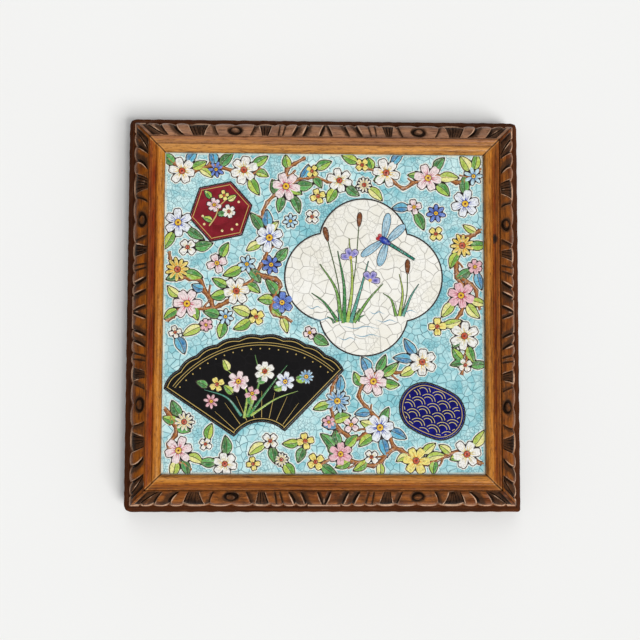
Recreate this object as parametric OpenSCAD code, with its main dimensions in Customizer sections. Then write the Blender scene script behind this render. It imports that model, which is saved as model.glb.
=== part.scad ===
// Square trivet: a glazed tile in a carved hardwood frame, on four turned bun feet.
// The frame is four mitred rails. A narrow sight moulding, mitred in four strips, covers the
// tile's edge. A base board is let in under the tile, and screws hold it to the rails.
// Origin: middle of the underside of the feet. +Z is up.

/* [Tile] */
// Width and depth of the tile
tile_w = 200; // [180:1:240]
// Thickness of the tile
tile_t = 10; // [9:0.5:11]
// Gap between the tile's edge and the rails
tile_gap = 0.4; // [0.3:0.1:0.6]
// How far the enamel stands proud of the tile's face
relief = 0.25; // [0.15:0.05:0.3]

/* [Sight moulding] */
// How far the moulding laps over the tile's edge
lap = 2; // [1.5:0.1:3]
// Width of the moulding
strip_w = 9.6; // [9.2:0.1:10.2]
// Radius of its inner bead
bead_r = 3.8; // [3.6:0.1:4]
// Radius of the cove beside the bead
cove_r = 1.3; // [1.1:0.1:1.4]
// Width of the flat fillet at its outer edge
fillet_w = 2.1; // [1.8:0.1:2.3]

/* [Carved rails] */
// Width of a rail with its moulding, from the sight edge to the outside
rail_w = 24.5; // [23.5:0.5:27]
// Height of a rail
rail_h = 22; // [21.5:0.5:24]
// Radius of the carved quarter round
band_r = 8; // [7.6:0.1:8.2]
// Width of the narrow edge line below the carving
edge_w = 1; // [0.7:0.1:1.3]
// Height of the upright part at the rail's foot
plinth_h = 4; // [3:0.5:6]
// Radius of the frame's outer corners
corner_r = 4; // [2:0.5:5]

/* [Carving] */
// Distance from the middle of a rail to each carved boss
boss_at = 56; // [52:0.5:58]
// Radius of the boss's dome
boss_r = 2.6; // [2:0.1:2.8]
// Radius of the sunk ring round the boss
ring_r = 3.7; // [3.4:0.1:4]
// Depth of a full gouge cut
gouge_depth = 1.3; // [0.8:0.1:1.5]
// Radius of the gouge that makes the wide cuts
gouge_r = 2.1; // [1.6:0.1:2.4]
// Lean of the wide cuts, away from the boss
gouge_lean = 30; // [20:1:40]

/* [Base] */
// Thickness of the base board
board_t = 6; // [5:0.5:7]
// How far the board reaches under each rail, from the sight edge
board_reach = 14; // [13:0.5:15]
// Height of a foot
foot_h = 8; // [6:0.5:12]
// Largest radius of a foot
foot_r = 9.5; // [8:0.5:11]
// Radius of a foot's tenon
tenon_r = 3.5; // [3:0.25:4]
// How far a tenon goes into the rails above the board
tenon_in = 3.5; // [2:0.5:4]

/* [Screws] */
// Screws along each side of the board
screws_per_side = 2; // [1:1:4]
// Radius of a screw's head
screw_head_r = 3.1; // [2.6:0.1:3.4]
// Radius of a screw's shank
screw_r = 1.6; // [1.2:0.1:1.8]
// Length of a screw with its head
screw_len = 14; // [12:0.5:15]

/* [Hidden] */

fine = 48;
sight = tile_w / 2 - lap;
out = sight + rail_w;
base_z = foot_h;
tile_z = base_z + board_t;
face_z = tile_z + tile_t;
top_z = base_z + rail_h;

// The board fits its rebate with this much play on each side.
board_gap = 0.3;
board_half = sight + board_reach;

// The strip lies this far above the tile's face, clear of the enamel.
bed = relief + 0.05;
strip_z = face_z + bed;
bead_top = top_z - 1.7;
fillet_z = top_z - 1.4;
quirk_z = top_z - 2;
quirk_w = 0.5;
// The bead's flank stands this far out from the sight edge.
bead_u = bead_r + 0.1;
// Middle of the cove: how far out, and how far below the fillet's top.
cove_u = strip_w - fillet_w - cove_r + 0.1;
cove_z = fillet_z - cove_r * 0.25;
// The wood under the cove is this high.
cove_bed_z = fillet_z - cove_r * 1.2;

// Middle of the carved quarter round, in a rail's section: out from the sight edge, and up.
band_u = strip_w + 1.4;
band_z = top_z - band_r;
// The quarter round runs a little past its widest point, down to the edge line.
edge_z = band_z - 1.8;
edge_drop = 1;
edge_u = band_u + sqrt(band_r * band_r - (band_z - edge_z) * (band_z - edge_z));

// Where the carved marks lie along the rail, measured from a boss to either side.
crescent_at = 12.8;
fan_at = 20.8;
stroke_at = 28;
chevron_at = 1.9;
chevron_lean = 28;
gouges_at = [36, 43.5];
// One more cut on the corner's side only, and its lean.
corner_gouge_at = 48.5;
corner_lean = 47;
// A mark's place round the quarter round, in degrees outward from straight up.
mark_tilt = 40;
boss_tilt = 23;
// How deep the ring is sunk, and how far the dome stands proud of the quarter round.
ring_depth = 1.1;
dome_proud = 0.3;
// Flutes in a fan, and the angle and distance between them.
fan_flutes = 3;
fan_spread = 13;
fan_step = 2.1;
// Each kind of cut: the radius of its gouge, and its depth.
crescent_cut = [1.2, 0.9];
flute_cut = [0.9, 0.8];
stroke_cut = [0.7, 0.6];
gouge_cut = [gouge_r, gouge_depth];
corner_cut = [1.5, 1];
chevron_left = [1.35, 1.15];
chevron_right = [1.2, 0.95];
crescent_lean = 14;
flute_lean = 20;
// A round bar this long makes each cut.
bar_len = 16;
// Nicks that scallop the edge line, where the cuts run out: how far past each cut, how deep,
// and how far they run on into the flared side below and up the quarter round above.
nick_shift = 3.5;
nick_r = 2.2;
nick_depth = 0.5;
cusp_depth = 0.75;
nick_below = 0.35;
nick_above = 0.4;

// The leaf rib on each mitre: where it starts, how far below the top, its slope and its size.
rib_at = sight + strip_w + 1.5;
rib_sunk = 1.9;
rib_slope = 22;
rib_len = 10;
rib_r = 1.6;
rib_tip_r = 0.7;

foot_at = sight + 7.5;
foot_round = foot_h * 0.45;
foot_neck = 0.8;

key_at = sight + 12;
key_size = [9, 12, 2];
key_z = base_z + board_t + tenon_in + 1;

screw_at = sight + 8.5;
slot_w = 0.8;
slot_d = 0.8;
head_h = 2;

wood = "#8a5528";
dark_wood = "#5d381c";
turned_wood = "#6b4220";
board_wood = "#a67a4a";
glaze = "#6fb8bf";
cream_enamel = "#e9e6da";
black_enamel = "#1c1a1d";
red_enamel = "#7a1620";
blue_enamel = "#1c2a86";
brass = "#b5934f";

// A quarter of the frame seen from above: what lies between the two mitres of the back rail.
module mitre_wedge() {
    reach = out + 1;
    translate([0, 0, -1])
        linear_extrude(top_z + 10)
            polygon([[0, 0], [reach, reach], [-reach, reach]]);
}

// A section in (outward, up), drawn along the back rail. Its first coordinate is distance from
// the sight edge.
module along_rail() {
    translate([-out, sight, 0])
        rotate([90, 0, 90])
            linear_extrude(2 * out)
                children();
}

// Bead, cove and fillet, from the sight edge outward.
module strip_section() {
    difference() {
        union() {
            intersection() {
                translate([bead_u, bead_top - bead_r])
                    circle(r = bead_r, $fn = fine);
                translate([0, strip_z])
                    square([strip_w, rail_h]);
            }
            translate([bead_u, strip_z])
                square([strip_w - bead_u, cove_bed_z - strip_z]);
            translate([strip_w - fillet_w, strip_z])
                square([fillet_w, fillet_z - strip_z]);
        }
        translate([cove_u, cove_z])
            circle(r = cove_r, $fn = fine);
    }
}

module sight_strip() {
    color(wood)
        intersection() {
            along_rail() strip_section();
            mitre_wedge();
        }
}

// The rail's section: a rebate for the board, one for the strip, the quarter round, the edge
// line, and the side that flares to the plinth.
module rail_section() {
    wall = lap + tile_gap;
    rebate = board_reach + board_gap;
    polygon([
        [rebate, base_z],
        [rail_w - 0.6, base_z],
        [rail_w, base_z + 0.6],
        [rail_w, base_z + plinth_h],
        [edge_u + edge_w, edge_z - edge_drop],
        [edge_u + edge_w, edge_z - 0.3],
        [edge_u, edge_z],
        [band_u, edge_z],
        [band_u, quirk_z],
        [strip_w, quirk_z],
        [strip_w, strip_z],
        [wall, strip_z],
        [wall, tile_z],
        [rebate, tile_z]
    ]);
    intersection() {
        translate([band_u, band_z])
            circle(r = band_r, $fn = fine);
        translate([strip_w + quirk_w, edge_z])
            square([rail_w, rail_h]);
    }
}

// Puts a mark on the quarter round: at a place along the rail and tilted round its curve. The
// mark's own z points straight out of the wood, and its y runs down the slope.
module on_band(along, tilt) {
    translate([along, sight + band_u, band_z])
        rotate([-tilt, 0, 0])
            translate([0, 0, band_r])
                children();
}

// One stroke of a gouge: a round bar laid in the surface cuts a leaf-shaped hollow.
module stroke(along, lean, cut) {
    on_band(along, mark_tilt)
        rotate([0, 0, lean])
            translate([0, 0, cut[0] - cut[1]])
                rotate([90, 0, 0])
                    cylinder(h = bar_len, r = cut[0], center = true, $fn = fine);
}

// The sunk ring and its dome are cut and filled separately.
module boss_ring(along) {
    on_band(along, boss_tilt)
        translate([0, 0, -ring_depth])
            cylinder(h = 4, r = ring_r, $fn = fine);
}

module boss_dome(along) {
    on_band(along, boss_tilt)
        translate([0, 0, dome_proud - boss_r])
            sphere(r = boss_r, $fn = fine);
}

// A nick in the edge line, seen from above as a shallow bay.
module edge_nick(along, depth) {
    foot = edge_z - edge_drop - nick_below;
    translate([along, sight + edge_u + edge_w + nick_r - depth, foot])
        cylinder(h = edge_drop + nick_below + nick_above, r = nick_r, $fn = fine);
}

// Every cut on one side of a boss. side is 1 or -1, along the rail.
module half_palmette(boss, side) {
    stroke(boss + side * crescent_at, -side * crescent_lean, crescent_cut);
    for (flute = [0 : fan_flutes - 1]) {
        place = fan_at + (flute - (fan_flutes - 1) / 2) * fan_step;
        stroke(boss + side * place, -side * (flute_lean + flute * fan_spread), flute_cut);
    }
    stroke(boss + side * stroke_at, -side * gouge_lean, stroke_cut);
    for (place = gouges_at) {
        stroke(boss + side * place, -side * gouge_lean, gouge_cut);
        edge_nick(boss + side * (place + nick_shift), nick_depth);
    }
    edge_nick(boss + side * fan_at, nick_depth);
}

// Two cuts that meet outward in a point, at the middle of the rail. The left one is the deeper.
module chevron() {
    stroke(-chevron_at, -chevron_lean, chevron_left);
    stroke(chevron_at, chevron_lean, chevron_right);
}

// A raised leaf rib runs down each mitre, thick end in.
module corner_rib(side) {
    translate([side * rib_at, rib_at, top_z - rib_sunk])
        rotate([0, 0, side * -45])
            rotate([-90 - rib_slope, 0, 0])
                cylinder(h = rib_len, r1 = rib_r, r2 = rib_tip_r, $fn = fine);
}

// Half holes at the mitres, for the feet's tenons, and slots for the keys.
module rail_sockets() {
    for (side = [-1, 1]) {
        translate([side * foot_at, foot_at, tile_z - 1])
            cylinder(h = tenon_in + 1, r = tenon_r, $fn = fine);
        translate([side * key_at, key_at, key_z])
            rotate([0, 0, side * -45])
                translate([-key_size[1] / 2, -key_size[0] / 2, 0])
                    cube([key_size[1], key_size[0], key_size[2]]);
    }
}

// Places one thing at each screw of the back side.
module at_screws() {
    pitch = 2 * sight / (screws_per_side + 1);
    for (i = [1 : screws_per_side])
        translate([i * pitch - sight, screw_at, base_z])
            children();
}

module carved_rail() {
    color(wood)
        intersection() {
            difference() {
                union() {
                    difference() {
                        along_rail() rail_section();
                        for (end = [-1, 1]) {
                            for (side = [-1, 1])
                                half_palmette(end * boss_at, side);
                            boss_ring(end * boss_at);
                            edge_nick(end * boss_at, cusp_depth);
                            stroke(end * (boss_at + corner_gouge_at), -end * corner_lean, corner_cut);
                        }
                        chevron();
                    }
                    for (boss = [-boss_at, boss_at])
                        boss_dome(boss);
                    for (side = [-1, 1])
                        corner_rib(side);
                }
                rail_sockets();
                at_screws()
                    cylinder(h = screw_len, r = screw_r, $fn = fine);
            }
            mitre_wedge();
            outer_corners();
        }
}

// The frame's outline from above, with its four outer corners rounded.
module outer_corners() {
    inner = out - corner_r;
    linear_extrude(top_z + 5)
        union() {
            square([2 * inner, 2 * out], center = true);
            square([2 * out, 2 * inner], center = true);
            for (x = [-inner, inner], y = [-inner, inner])
                translate([x, y])
                    circle(r = corner_r, $fn = fine);
        }
}

// Four round lobes, laid as a cross.
module quatrefoil(reach, lobe) {
    union() {
        square(2 * (reach - lobe), center = true);
        for (turn = [0 : 90 : 270])
            rotate(turn)
                translate([reach - lobe, 0])
                    circle(r = lobe, $fn = fine);
    }
}

// An open folding fan, its pivot at the origin and its middle rib along +Y.
module open_fan(outer, inner, half_angle) {
    far = outer * 1.5;
    intersection() {
        difference() {
            circle(r = outer, $fn = fine * 2);
            circle(r = inner, $fn = fine);
        }
        polygon([
            [0, 0],
            [far * sin(half_angle), far * cos(half_angle)],
            [0, far],
            [-far * sin(half_angle), far * cos(half_angle)]
        ]);
    }
}

// A rounded bar with its ends on a circle, for the blue reserve.
module lozenge(half_length, radius) {
    union() {
        square([2 * (half_length - radius), 2 * radius], center = true);
        for (side = [-1, 1])
            translate([side * (half_length - radius), 0])
                circle(r = radius, $fn = fine);
    }
}

// One enamelled reserve: a shallow pad that stands on the glaze.
module enamel(shade) {
    color(shade)
        translate([0, 0, face_z - 0.5])
            linear_extrude(0.5 + relief)
                children();
}

module tile() {
    k = tile_w / 200;
    color(glaze)
        translate([-tile_w / 2, -tile_w / 2, tile_z])
            cube([tile_w, tile_w, tile_t]);
    enamel(cream_enamel)
        translate([k * 24, k * 22])
            quatrefoil(k * 48, k * 27);
    enamel(black_enamel)
        translate([k * -38, k * -86])
            rotate(6)
                open_fan(k * 72, k * 20, 50);
    enamel(red_enamel)
        translate([k * -64, k * 62])
            rotate(12)
                circle(r = k * 19, $fn = 6);
    enamel(blue_enamel)
        translate([k * 66, k * -60])
            rotate(-24)
                lozenge(k * 20, k * 15);
}

module base_board() {
    color(board_wood)
        difference() {
            translate([-board_half, -board_half, base_z])
                cube([2 * board_half, 2 * board_half, board_t]);
            for (x = [-foot_at, foot_at], y = [-foot_at, foot_at])
                translate([x, y, base_z - 1])
                    cylinder(h = board_t + 2, r = tenon_r, $fn = fine);
            for (turn = [0 : 90 : 270])
                rotate(turn)
                    at_screws()
                        screw_body();
        }
}

// Outline of half a foot: a rounded bun, a short neck and the tenon.
module foot_section() {
    square([foot_r - foot_round, 2 * foot_round]);
    translate([foot_r - foot_round, foot_round])
        circle(r = foot_round, $fn = fine);
    square([foot_r * 0.7, foot_h]);
    square([tenon_r, foot_h + board_t + tenon_in]);
    translate([0, foot_h - foot_neck])
        square([foot_r * 0.78, foot_neck]);
}

module bun_foot(x_side, y_side) {
    color(turned_wood)
        translate([x_side * foot_at, y_side * foot_at, 0])
            rotate_extrude($fn = fine)
                intersection() {
                    foot_section();
                    square([foot_r * 2, foot_h * 4]);
                }
}

module mitre_key(x_side, y_side) {
    color(dark_wood)
        translate([x_side * key_at, y_side * key_at, key_z])
            rotate([0, 0, -45 * x_side * y_side])
                translate([-key_size[1] / 2, -key_size[0] / 2, 0])
                    cube([key_size[1], key_size[0], key_size[2]]);
}

// Countersunk head and shank, point up, the head's face at z = 0.
module screw_body() {
    cylinder(h = head_h, r1 = screw_head_r, r2 = screw_r, $fn = fine);
    cylinder(h = screw_len, r = screw_r, $fn = fine);
}

module board_screws() {
    color(brass)
        for (turn = [0 : 90 : 270])
            rotate(turn)
                at_screws()
                    difference() {
                        screw_body();
                        translate([-screw_head_r - 1, -slot_w / 2, -1])
                            cube([2 * screw_head_r + 2, slot_w, slot_d + 1]);
                    }
}

tile();
sight_strip();  // sight_strip_back
rotate(-90) sight_strip();  // sight_strip_right
rotate(180) sight_strip();  // sight_strip_front
rotate(90) sight_strip();  // sight_strip_left
carved_rail();  // carved_rail_back
rotate(-90) carved_rail();  // carved_rail_right
rotate(180) carved_rail();  // carved_rail_front
rotate(90) carved_rail();  // carved_rail_left
base_board();
bun_foot(1, 1);  // bun_foot_back_right
bun_foot(1, -1);  // bun_foot_front_right
bun_foot(-1, -1);  // bun_foot_front_left
bun_foot(-1, 1);  // bun_foot_back_left
mitre_key(1, 1);  // mitre_key_back_right
mitre_key(1, -1);  // mitre_key_front_right
mitre_key(-1, -1);  // mitre_key_front_left
mitre_key(-1, 1);  // mitre_key_back_left
board_screws();
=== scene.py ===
# %% [markdown]
# # A square trivet: a glazed tile in a carved wooden frame
#
# The real trivet is a faience tile, held in a frame of four carved rails by four narrow
# mouldings. It stands on four small turned feet. The solids arrive here at their real size,
# so nothing is scaled or moved: each visible piece gets a finer mesh in the same place, or
# keeps its solid and gets a finish.
#
# Lengths are written in millimetres, as a maker would say them, and are turned into metres
# only when a mesh is made.

# %% Load the solids
import math
import bpy
import numpy as np
from mathutils import Euler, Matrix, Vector


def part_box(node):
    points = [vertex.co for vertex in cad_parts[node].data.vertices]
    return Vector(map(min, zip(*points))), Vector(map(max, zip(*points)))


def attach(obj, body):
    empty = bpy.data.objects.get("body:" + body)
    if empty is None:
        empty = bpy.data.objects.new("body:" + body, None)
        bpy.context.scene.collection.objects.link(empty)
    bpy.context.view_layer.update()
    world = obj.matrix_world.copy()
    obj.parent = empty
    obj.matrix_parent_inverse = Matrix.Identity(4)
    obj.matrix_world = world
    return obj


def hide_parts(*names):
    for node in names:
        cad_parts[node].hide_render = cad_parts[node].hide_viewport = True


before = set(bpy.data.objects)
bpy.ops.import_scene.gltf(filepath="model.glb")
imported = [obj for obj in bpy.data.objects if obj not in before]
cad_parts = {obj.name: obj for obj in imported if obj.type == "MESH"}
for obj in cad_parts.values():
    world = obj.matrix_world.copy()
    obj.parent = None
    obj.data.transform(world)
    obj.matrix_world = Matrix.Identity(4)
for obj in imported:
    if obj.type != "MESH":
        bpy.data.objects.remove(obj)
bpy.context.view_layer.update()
MM = 0.001


def corners(node):
    """Lowest and highest corner of a solid, in millimetres."""
    low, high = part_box(node)
    return np.array(low) / MM, np.array(high) / MM


STRIP_LOW, STRIP_HIGH = corners("sight_strip_back")
TILE_LOW, TILE_HIGH = corners("tile")
RAIL_LOW, RAIL_HIGH = corners("carved_rail_back")
SIGHT = STRIP_LOW[1]
STRIP_W = STRIP_HIGH[1] - SIGHT
OUT = RAIL_HIGH[1]
BASE_Z = RAIL_LOW[2]
TOP_Z = RAIL_HIGH[2]
RELIEF = 0.25
FACE_Z = TILE_HIGH[2] - RELIEF
print("sight edge at", round(SIGHT, 2), "outside at", round(OUT, 2), "face at", round(FACE_Z, 2))

# %% [markdown]
# ## From rows of points to meshes
#
# Every piece here is computed: rows of points give rings, and rings give a closed skin. One
# helper turns the points and faces into a mesh object, stores named values on its points for
# the finishes to read, and ties it to the frame. A long polished piece is shaded smooth, and
# edges sharper than a given angle stay crisp.

# %% The mesh helper
SIDES = {"back": 0, "right": -90, "front": 180, "left": 90}


def turned(points, degrees):
    """Points turned about the upright axis through the middle of the trivet."""
    a = math.radians(degrees)
    turn = np.array([[math.cos(a), math.sin(a), 0], [-math.sin(a), math.cos(a), 0], [0, 0, 1]])
    return np.asarray(points, float) @ turn


def make_piece(name, points, faces, values=None, smooth_angle=40):
    """One mesh object from points in millimetres. values holds named numbers, one a point."""
    mesh = bpy.data.meshes.new(name)
    mesh.from_pydata((np.asarray(points, float) * MM).tolist(), [], faces)
    for key, value in (values or {}).items():
        value = np.asarray(value, np.float32)
        numbers_a_point = 1 if value.ndim == 1 else value.shape[1]
        kind = {1: "FLOAT", 3: "FLOAT_VECTOR", 4: "FLOAT_COLOR"}[numbers_a_point]
        field = {"FLOAT": "value", "FLOAT_VECTOR": "vector", "FLOAT_COLOR": "color"}[kind]
        mesh.attributes.new(key, kind, "POINT").data.foreach_set(field, value.ravel())
    mesh.polygons.foreach_set("use_smooth", [True] * len(mesh.polygons))
    mesh.set_sharp_from_angle(angle=math.radians(smooth_angle))
    mesh.update()
    piece = bpy.data.objects.new(name, mesh)
    bpy.context.scene.collection.objects.link(piece)
    return piece


def fit(piece, slot, material, *nodes):
    """Ties a piece to the frame, gives it its finish and hides the solids that it stands for."""
    piece.data.materials.append(material)
    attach(piece, "root")
    if nodes:
        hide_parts(*nodes)
    print(piece.name, len(piece.data.vertices), "points")
    return piece

# %% [markdown]
# ## Small builders for the finishes
#
# A finish is a tree of nodes. These helpers add a node, set its sockets and wire it in one
# line, so that each finish below reads as a short recipe. An effect that several finishes
# share is built once, as a group of nodes with named sockets, and is placed in each of them.

# %% Nodes and sockets
def linear(red, green, blue):
    """An sRGB colour, 0 to 255 as a paint chart gives it, as linear light with alpha."""
    def one(value):
        value = value / 255
        return value / 12.92 if value <= 0.04045 else ((value + 0.055) / 1.055) ** 2.4
    return (one(red), one(green), one(blue), 1.0)


def feed(tree, socket, value):
    """Sets a socket to a plain value, or wires another node's output to it."""
    if isinstance(value, bpy.types.NodeSocket):
        tree.links.new(value, socket)
    else:
        socket.default_value = value


def add(tree, kind, inputs=None, **settings):
    """A node with its settings; inputs are plain values or other nodes' outputs."""
    node = tree.nodes.new(kind)
    for key, value in settings.items():
        setattr(node, key, value)
    for key, value in (inputs or {}).items():
        feed(tree, node.inputs[key], value)
    return node


print("a middle grey of 128 is", round(linear(128, 128, 128)[0], 3), "in linear light")

# %% Sums, mixes and noise
# The mix node's sockets for its two colours and for the mixed one, counted from nought.
MIX_FIRST, MIX_SECOND, MIX_OUT = 6, 7, 2


def sums(tree, operation, a, b=0.0, c=0.0):
    """One step of arithmetic on masks."""
    return add(tree, "ShaderNodeMath", {0: a, 1: b, 2: c}, operation=operation).outputs[0]


def between(tree, value, low, high, start=0.0, end=1.0):
    """Maps a value from low..high to start..end by a soft step, held at both ends."""
    inputs = {"Value": value, "From Min": low, "From Max": high, "To Min": start, "To Max": end}
    node = add(tree, "ShaderNodeMapRange", inputs, interpolation_type="SMOOTHSTEP")
    return node.outputs["Result"]


def blended(tree, factor, first, second, mode="MIX"):
    """Two colours mixed by a mask."""
    node = add(tree, "ShaderNodeMix", {"Factor": factor}, data_type="RGBA", blend_type=mode)
    feed(tree, node.inputs[MIX_FIRST], first)
    feed(tree, node.inputs[MIX_SECOND], second)
    return node.outputs[MIX_OUT]


def noise(tree, vector, scale, detail=4.0, rough=0.55, warp=0.0):
    """Soft noise, 0 to 1."""
    inputs = {"Vector": vector, "Scale": scale, "Detail": detail, "Roughness": rough}
    inputs["Distortion"] = warp
    return add(tree, "ShaderNodeTexNoise", inputs).outputs["Fac"]


def stretched(tree, vector, x, y, z):
    """The same vector, stretched along each axis."""
    return add(tree, "ShaderNodeMapping", {"Vector": vector, "Scale": (x, y, z)}).outputs[0]


print("node helpers ready")


# %% Groups and finishes
def group(name, inputs, outputs):
    """A shader node group with named sockets, and its two end nodes."""
    tree = bpy.data.node_groups.new(name, "ShaderNodeTree")
    for direction, sockets in (("INPUT", inputs), ("OUTPUT", outputs)):
        for label, kind in sockets.items():
            tree.interface.new_socket(label, in_out=direction, socket_type="NodeSocket" + kind)
    start = tree.nodes.new("NodeGroupInput")
    end = tree.nodes.new("NodeGroupOutput")
    return tree, start.outputs, end.inputs


def place(tree, name, inputs):
    """A node group set into a finish with its own values."""
    node = tree.nodes.new("ShaderNodeGroup")
    node.node_tree = bpy.data.node_groups[name]
    for key, value in inputs.items():
        feed(tree, node.inputs[key], value)
    return node.outputs


def finish_tree(name, **sockets):
    """A new material with one Principled shader; sockets holds the shader's own constants."""
    material = bpy.data.materials.new(name)
    material.use_nodes = True
    tree = material.node_tree
    shader = tree.nodes["Principled BSDF"]
    for key, value in sockets.items():
        shader.inputs[key.replace("_", " ")].default_value = value
    return material, tree, shader.inputs


print("group and finish helpers ready")


# %% Places, stored values and fine relief
def object_at(tree):
    """Where a point lies in its piece, in metres."""
    return add(tree, "ShaderNodeTexCoord").outputs["Object"]


def stored(tree, name, output="Fac"):
    """A value that the mesh carries on its points."""
    return add(tree, "ShaderNodeAttribute", attribute_name=name).outputs[output]


def bump(tree, height, strength, distance):
    """Fine relief, too small to model."""
    inputs = {"Height": height, "Strength": strength, "Distance": distance}
    return add(tree, "ShaderNodeBump", inputs).outputs["Normal"]


print("finishes can read places and stored values")

# %% [markdown]
# ## The camera
#
# The picture is taken from almost straight above, a little left of the middle and towards the
# front, so the front rail shows more of its outer side than the back one. A camera at that
# place, with the lens that gives the same perspective, lines every edge up with the picture.

# %% Place the camera
CAMERA_AT = (-20.68, -46.31, 630.08)
CAMERA_TURN = (3.931, -1.709, 0.18)
LENS = 55.87
camera_data = bpy.data.cameras.new("camera")
camera_data.lens = LENS
camera_data.sensor_width = 36
camera_data.clip_end = 50
camera = bpy.data.objects.new("camera", camera_data)
camera.location = Vector(CAMERA_AT) * MM
camera.rotation_euler = Euler([math.radians(a) for a in CAMERA_TURN])
bpy.context.scene.collection.objects.link(camera)
bpy.context.scene.camera = camera
print("camera is", round(CAMERA_AT[2] - TOP_Z), "mm above the frame")

# %% [markdown]
# ## The table top and the light
#
# The trivet lies on a matt, nearly white sheet. A soft lamp stands high and far off, to the
# front and right, so a soft shadow falls to the back and left and the sheet is lit evenly. A
# much weaker one stands behind, as a pale card would: it gives the varnish of the back rail
# something bright to mirror. With a pale world they light a level surface with about one unit,
# so that colours come out as they are written. Both are outside the part of the room that the
# glaze mirrors. A low view shows a wall as pale as the sheet.

# %% Lay the sheet
FLOOR_SIZE = 6000
floor_points = [(-FLOOR_SIZE, -FLOOR_SIZE, 0), (FLOOR_SIZE, -FLOOR_SIZE, 0),
                (FLOOR_SIZE, FLOOR_SIZE, 0), (-FLOOR_SIZE, FLOOR_SIZE, 0)]
floor = make_piece("table_sheet", floor_points, [(0, 1, 2, 3)])
sheet_finish, tree, shader = finish_tree("matt white sheet", Roughness=0.9, Specular_IOR_Level=0.1)
place_on_sheet = object_at(tree)
cloudy = noise(tree, place_on_sheet, 3.0, 2.0)
sheet_colour = blended(tree, cloudy, linear(244, 244, 242), linear(240, 239, 237))
tree.links.new(sheet_colour, shader["Base Color"])
grit = noise(tree, place_on_sheet, 900.0, 2.0)
tree.links.new(bump(tree, grit, 0.05, 0.0002), shader["Normal"])
floor.data.materials.append(sheet_finish)
print("sheet is", FLOOR_SIZE * 2 // 1000, "m wide")


# %% Hang the lamps
def lamp(name, towards, width, strength):
    """A far, soft lamp: its direction, how wide it looks in degrees, and its strength."""
    data = bpy.data.lights.new(name, "SUN")
    data.angle = math.radians(width)
    data.energy = strength
    item = bpy.data.objects.new(name, data)
    item.rotation_euler = Vector(towards).to_track_quat("Z", "Y").to_euler()
    bpy.context.scene.collection.objects.link(item)


SKY_STRENGTH = 0.40
lamp("window_lamp", (1.15, -1.2, 2.15), 30, 2.2)
lamp("back_card", (-0.1, 1.3, 1.6), 30, 0.3)
world = bpy.data.worlds.new("studio")
world.use_nodes = True
tree = world.node_tree
sky = tree.nodes["Background"]
sky.inputs["Color"].default_value = (0.97, 0.985, 1.0, 1)
sky.inputs["Strength"].default_value = SKY_STRENGTH
wall = add(tree, "ShaderNodeBackground", {"Color": linear(238, 238, 236)})
seen = add(tree, "ShaderNodeLightPath").outputs["Is Camera Ray"]
both = add(tree, "ShaderNodeMixShader", {0: seen, 1: sky.outputs[0], 2: wall.outputs[0]})
tree.links.new(both.outputs[0], tree.nodes["World Output"].inputs["Surface"])
bpy.context.scene.world = world
bpy.context.scene.view_settings.view_transform = "Standard"
print("two lamps and a pale world")

# %% [markdown]
# ## Wood, one grain for every piece
#
# All the woods here are close ones, with long fibres, short dark pores and slow bands of
# darker and lighter growth. That is a group of nodes, used by each wooden finish with its own
# colours. It reads a vector whose first axis runs along the plank, so every rail has its grain
# along its own length. Noise stretched thirty times along that axis draws the fibres, and a
# second, shorter noise the pores. The frame's wood also has dark flecks, wide enough to be seen
# from arm's length: they are a small group of their own, for the rails and the mouldings.

# %% The grain group
grain_inputs = {"Vector": "Vector", "Light": "Color", "Dark": "Color", "Figure": "Float",
                "Pores": "Float"}
grain_outputs = {"Color": "Color", "Height": "Float", "Streak": "Float"}
tree, given, out = group("wood grain", grain_inputs, grain_outputs)
slow = noise(tree, stretched(tree, given["Vector"], 9, 120, 120), 1.0, 3.0, 0.5, 0.6)
fibres = noise(tree, stretched(tree, given["Vector"], 30, 900, 900), 1.0, 5.0, 0.65)
fine = noise(tree, stretched(tree, given["Vector"], 110, 3400, 3400), 1.0, 3.0, 0.6)
pore_noise = noise(tree, stretched(tree, given["Vector"], 240, 5200, 5200), 1.0, 1.0, 0.5)
pores = between(tree, pore_noise, 0.62, 0.70)
streak = sums(tree, "MULTIPLY_ADD", slow, given["Figure"], sums(tree, "MULTIPLY", fibres, 0.75))
streak = sums(tree, "MULTIPLY_ADD", fine, 0.28, streak)
streak = between(tree, streak, 0.52, 1.0)
body = blended(tree, streak, given["Dark"], given["Light"])
pore_mask = sums(tree, "MULTIPLY", pores, given["Pores"])
tree.links.new(blended(tree, pore_mask, body, given["Dark"], "MULTIPLY"), out["Color"])
tree.links.new(sums(tree, "SUBTRACT", fibres, pore_mask), out["Height"])
tree.links.new(streak, out["Streak"])
print("grain group has", len(tree.nodes), "nodes")

# %% The flecks group
fleck_inputs = {"Vector": "Vector", "Color": "Color", "Amount": "Float"}
tree, given, out = group("grain flecks", fleck_inputs, {"Color": "Color"})
flecks = noise(tree, stretched(tree, given["Vector"], 150, 1500, 1500), 1.0, 3.0, 0.6)
flecks = sums(tree, "MULTIPLY", between(tree, flecks, 0.5, 0.68), given["Amount"])
flecked = blended(tree, flecks, given["Color"], linear(120, 84, 60), "MULTIPLY")
tree.links.new(flecked, out["Color"])
print("flecks group has", len(tree.nodes), "nodes")
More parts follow.
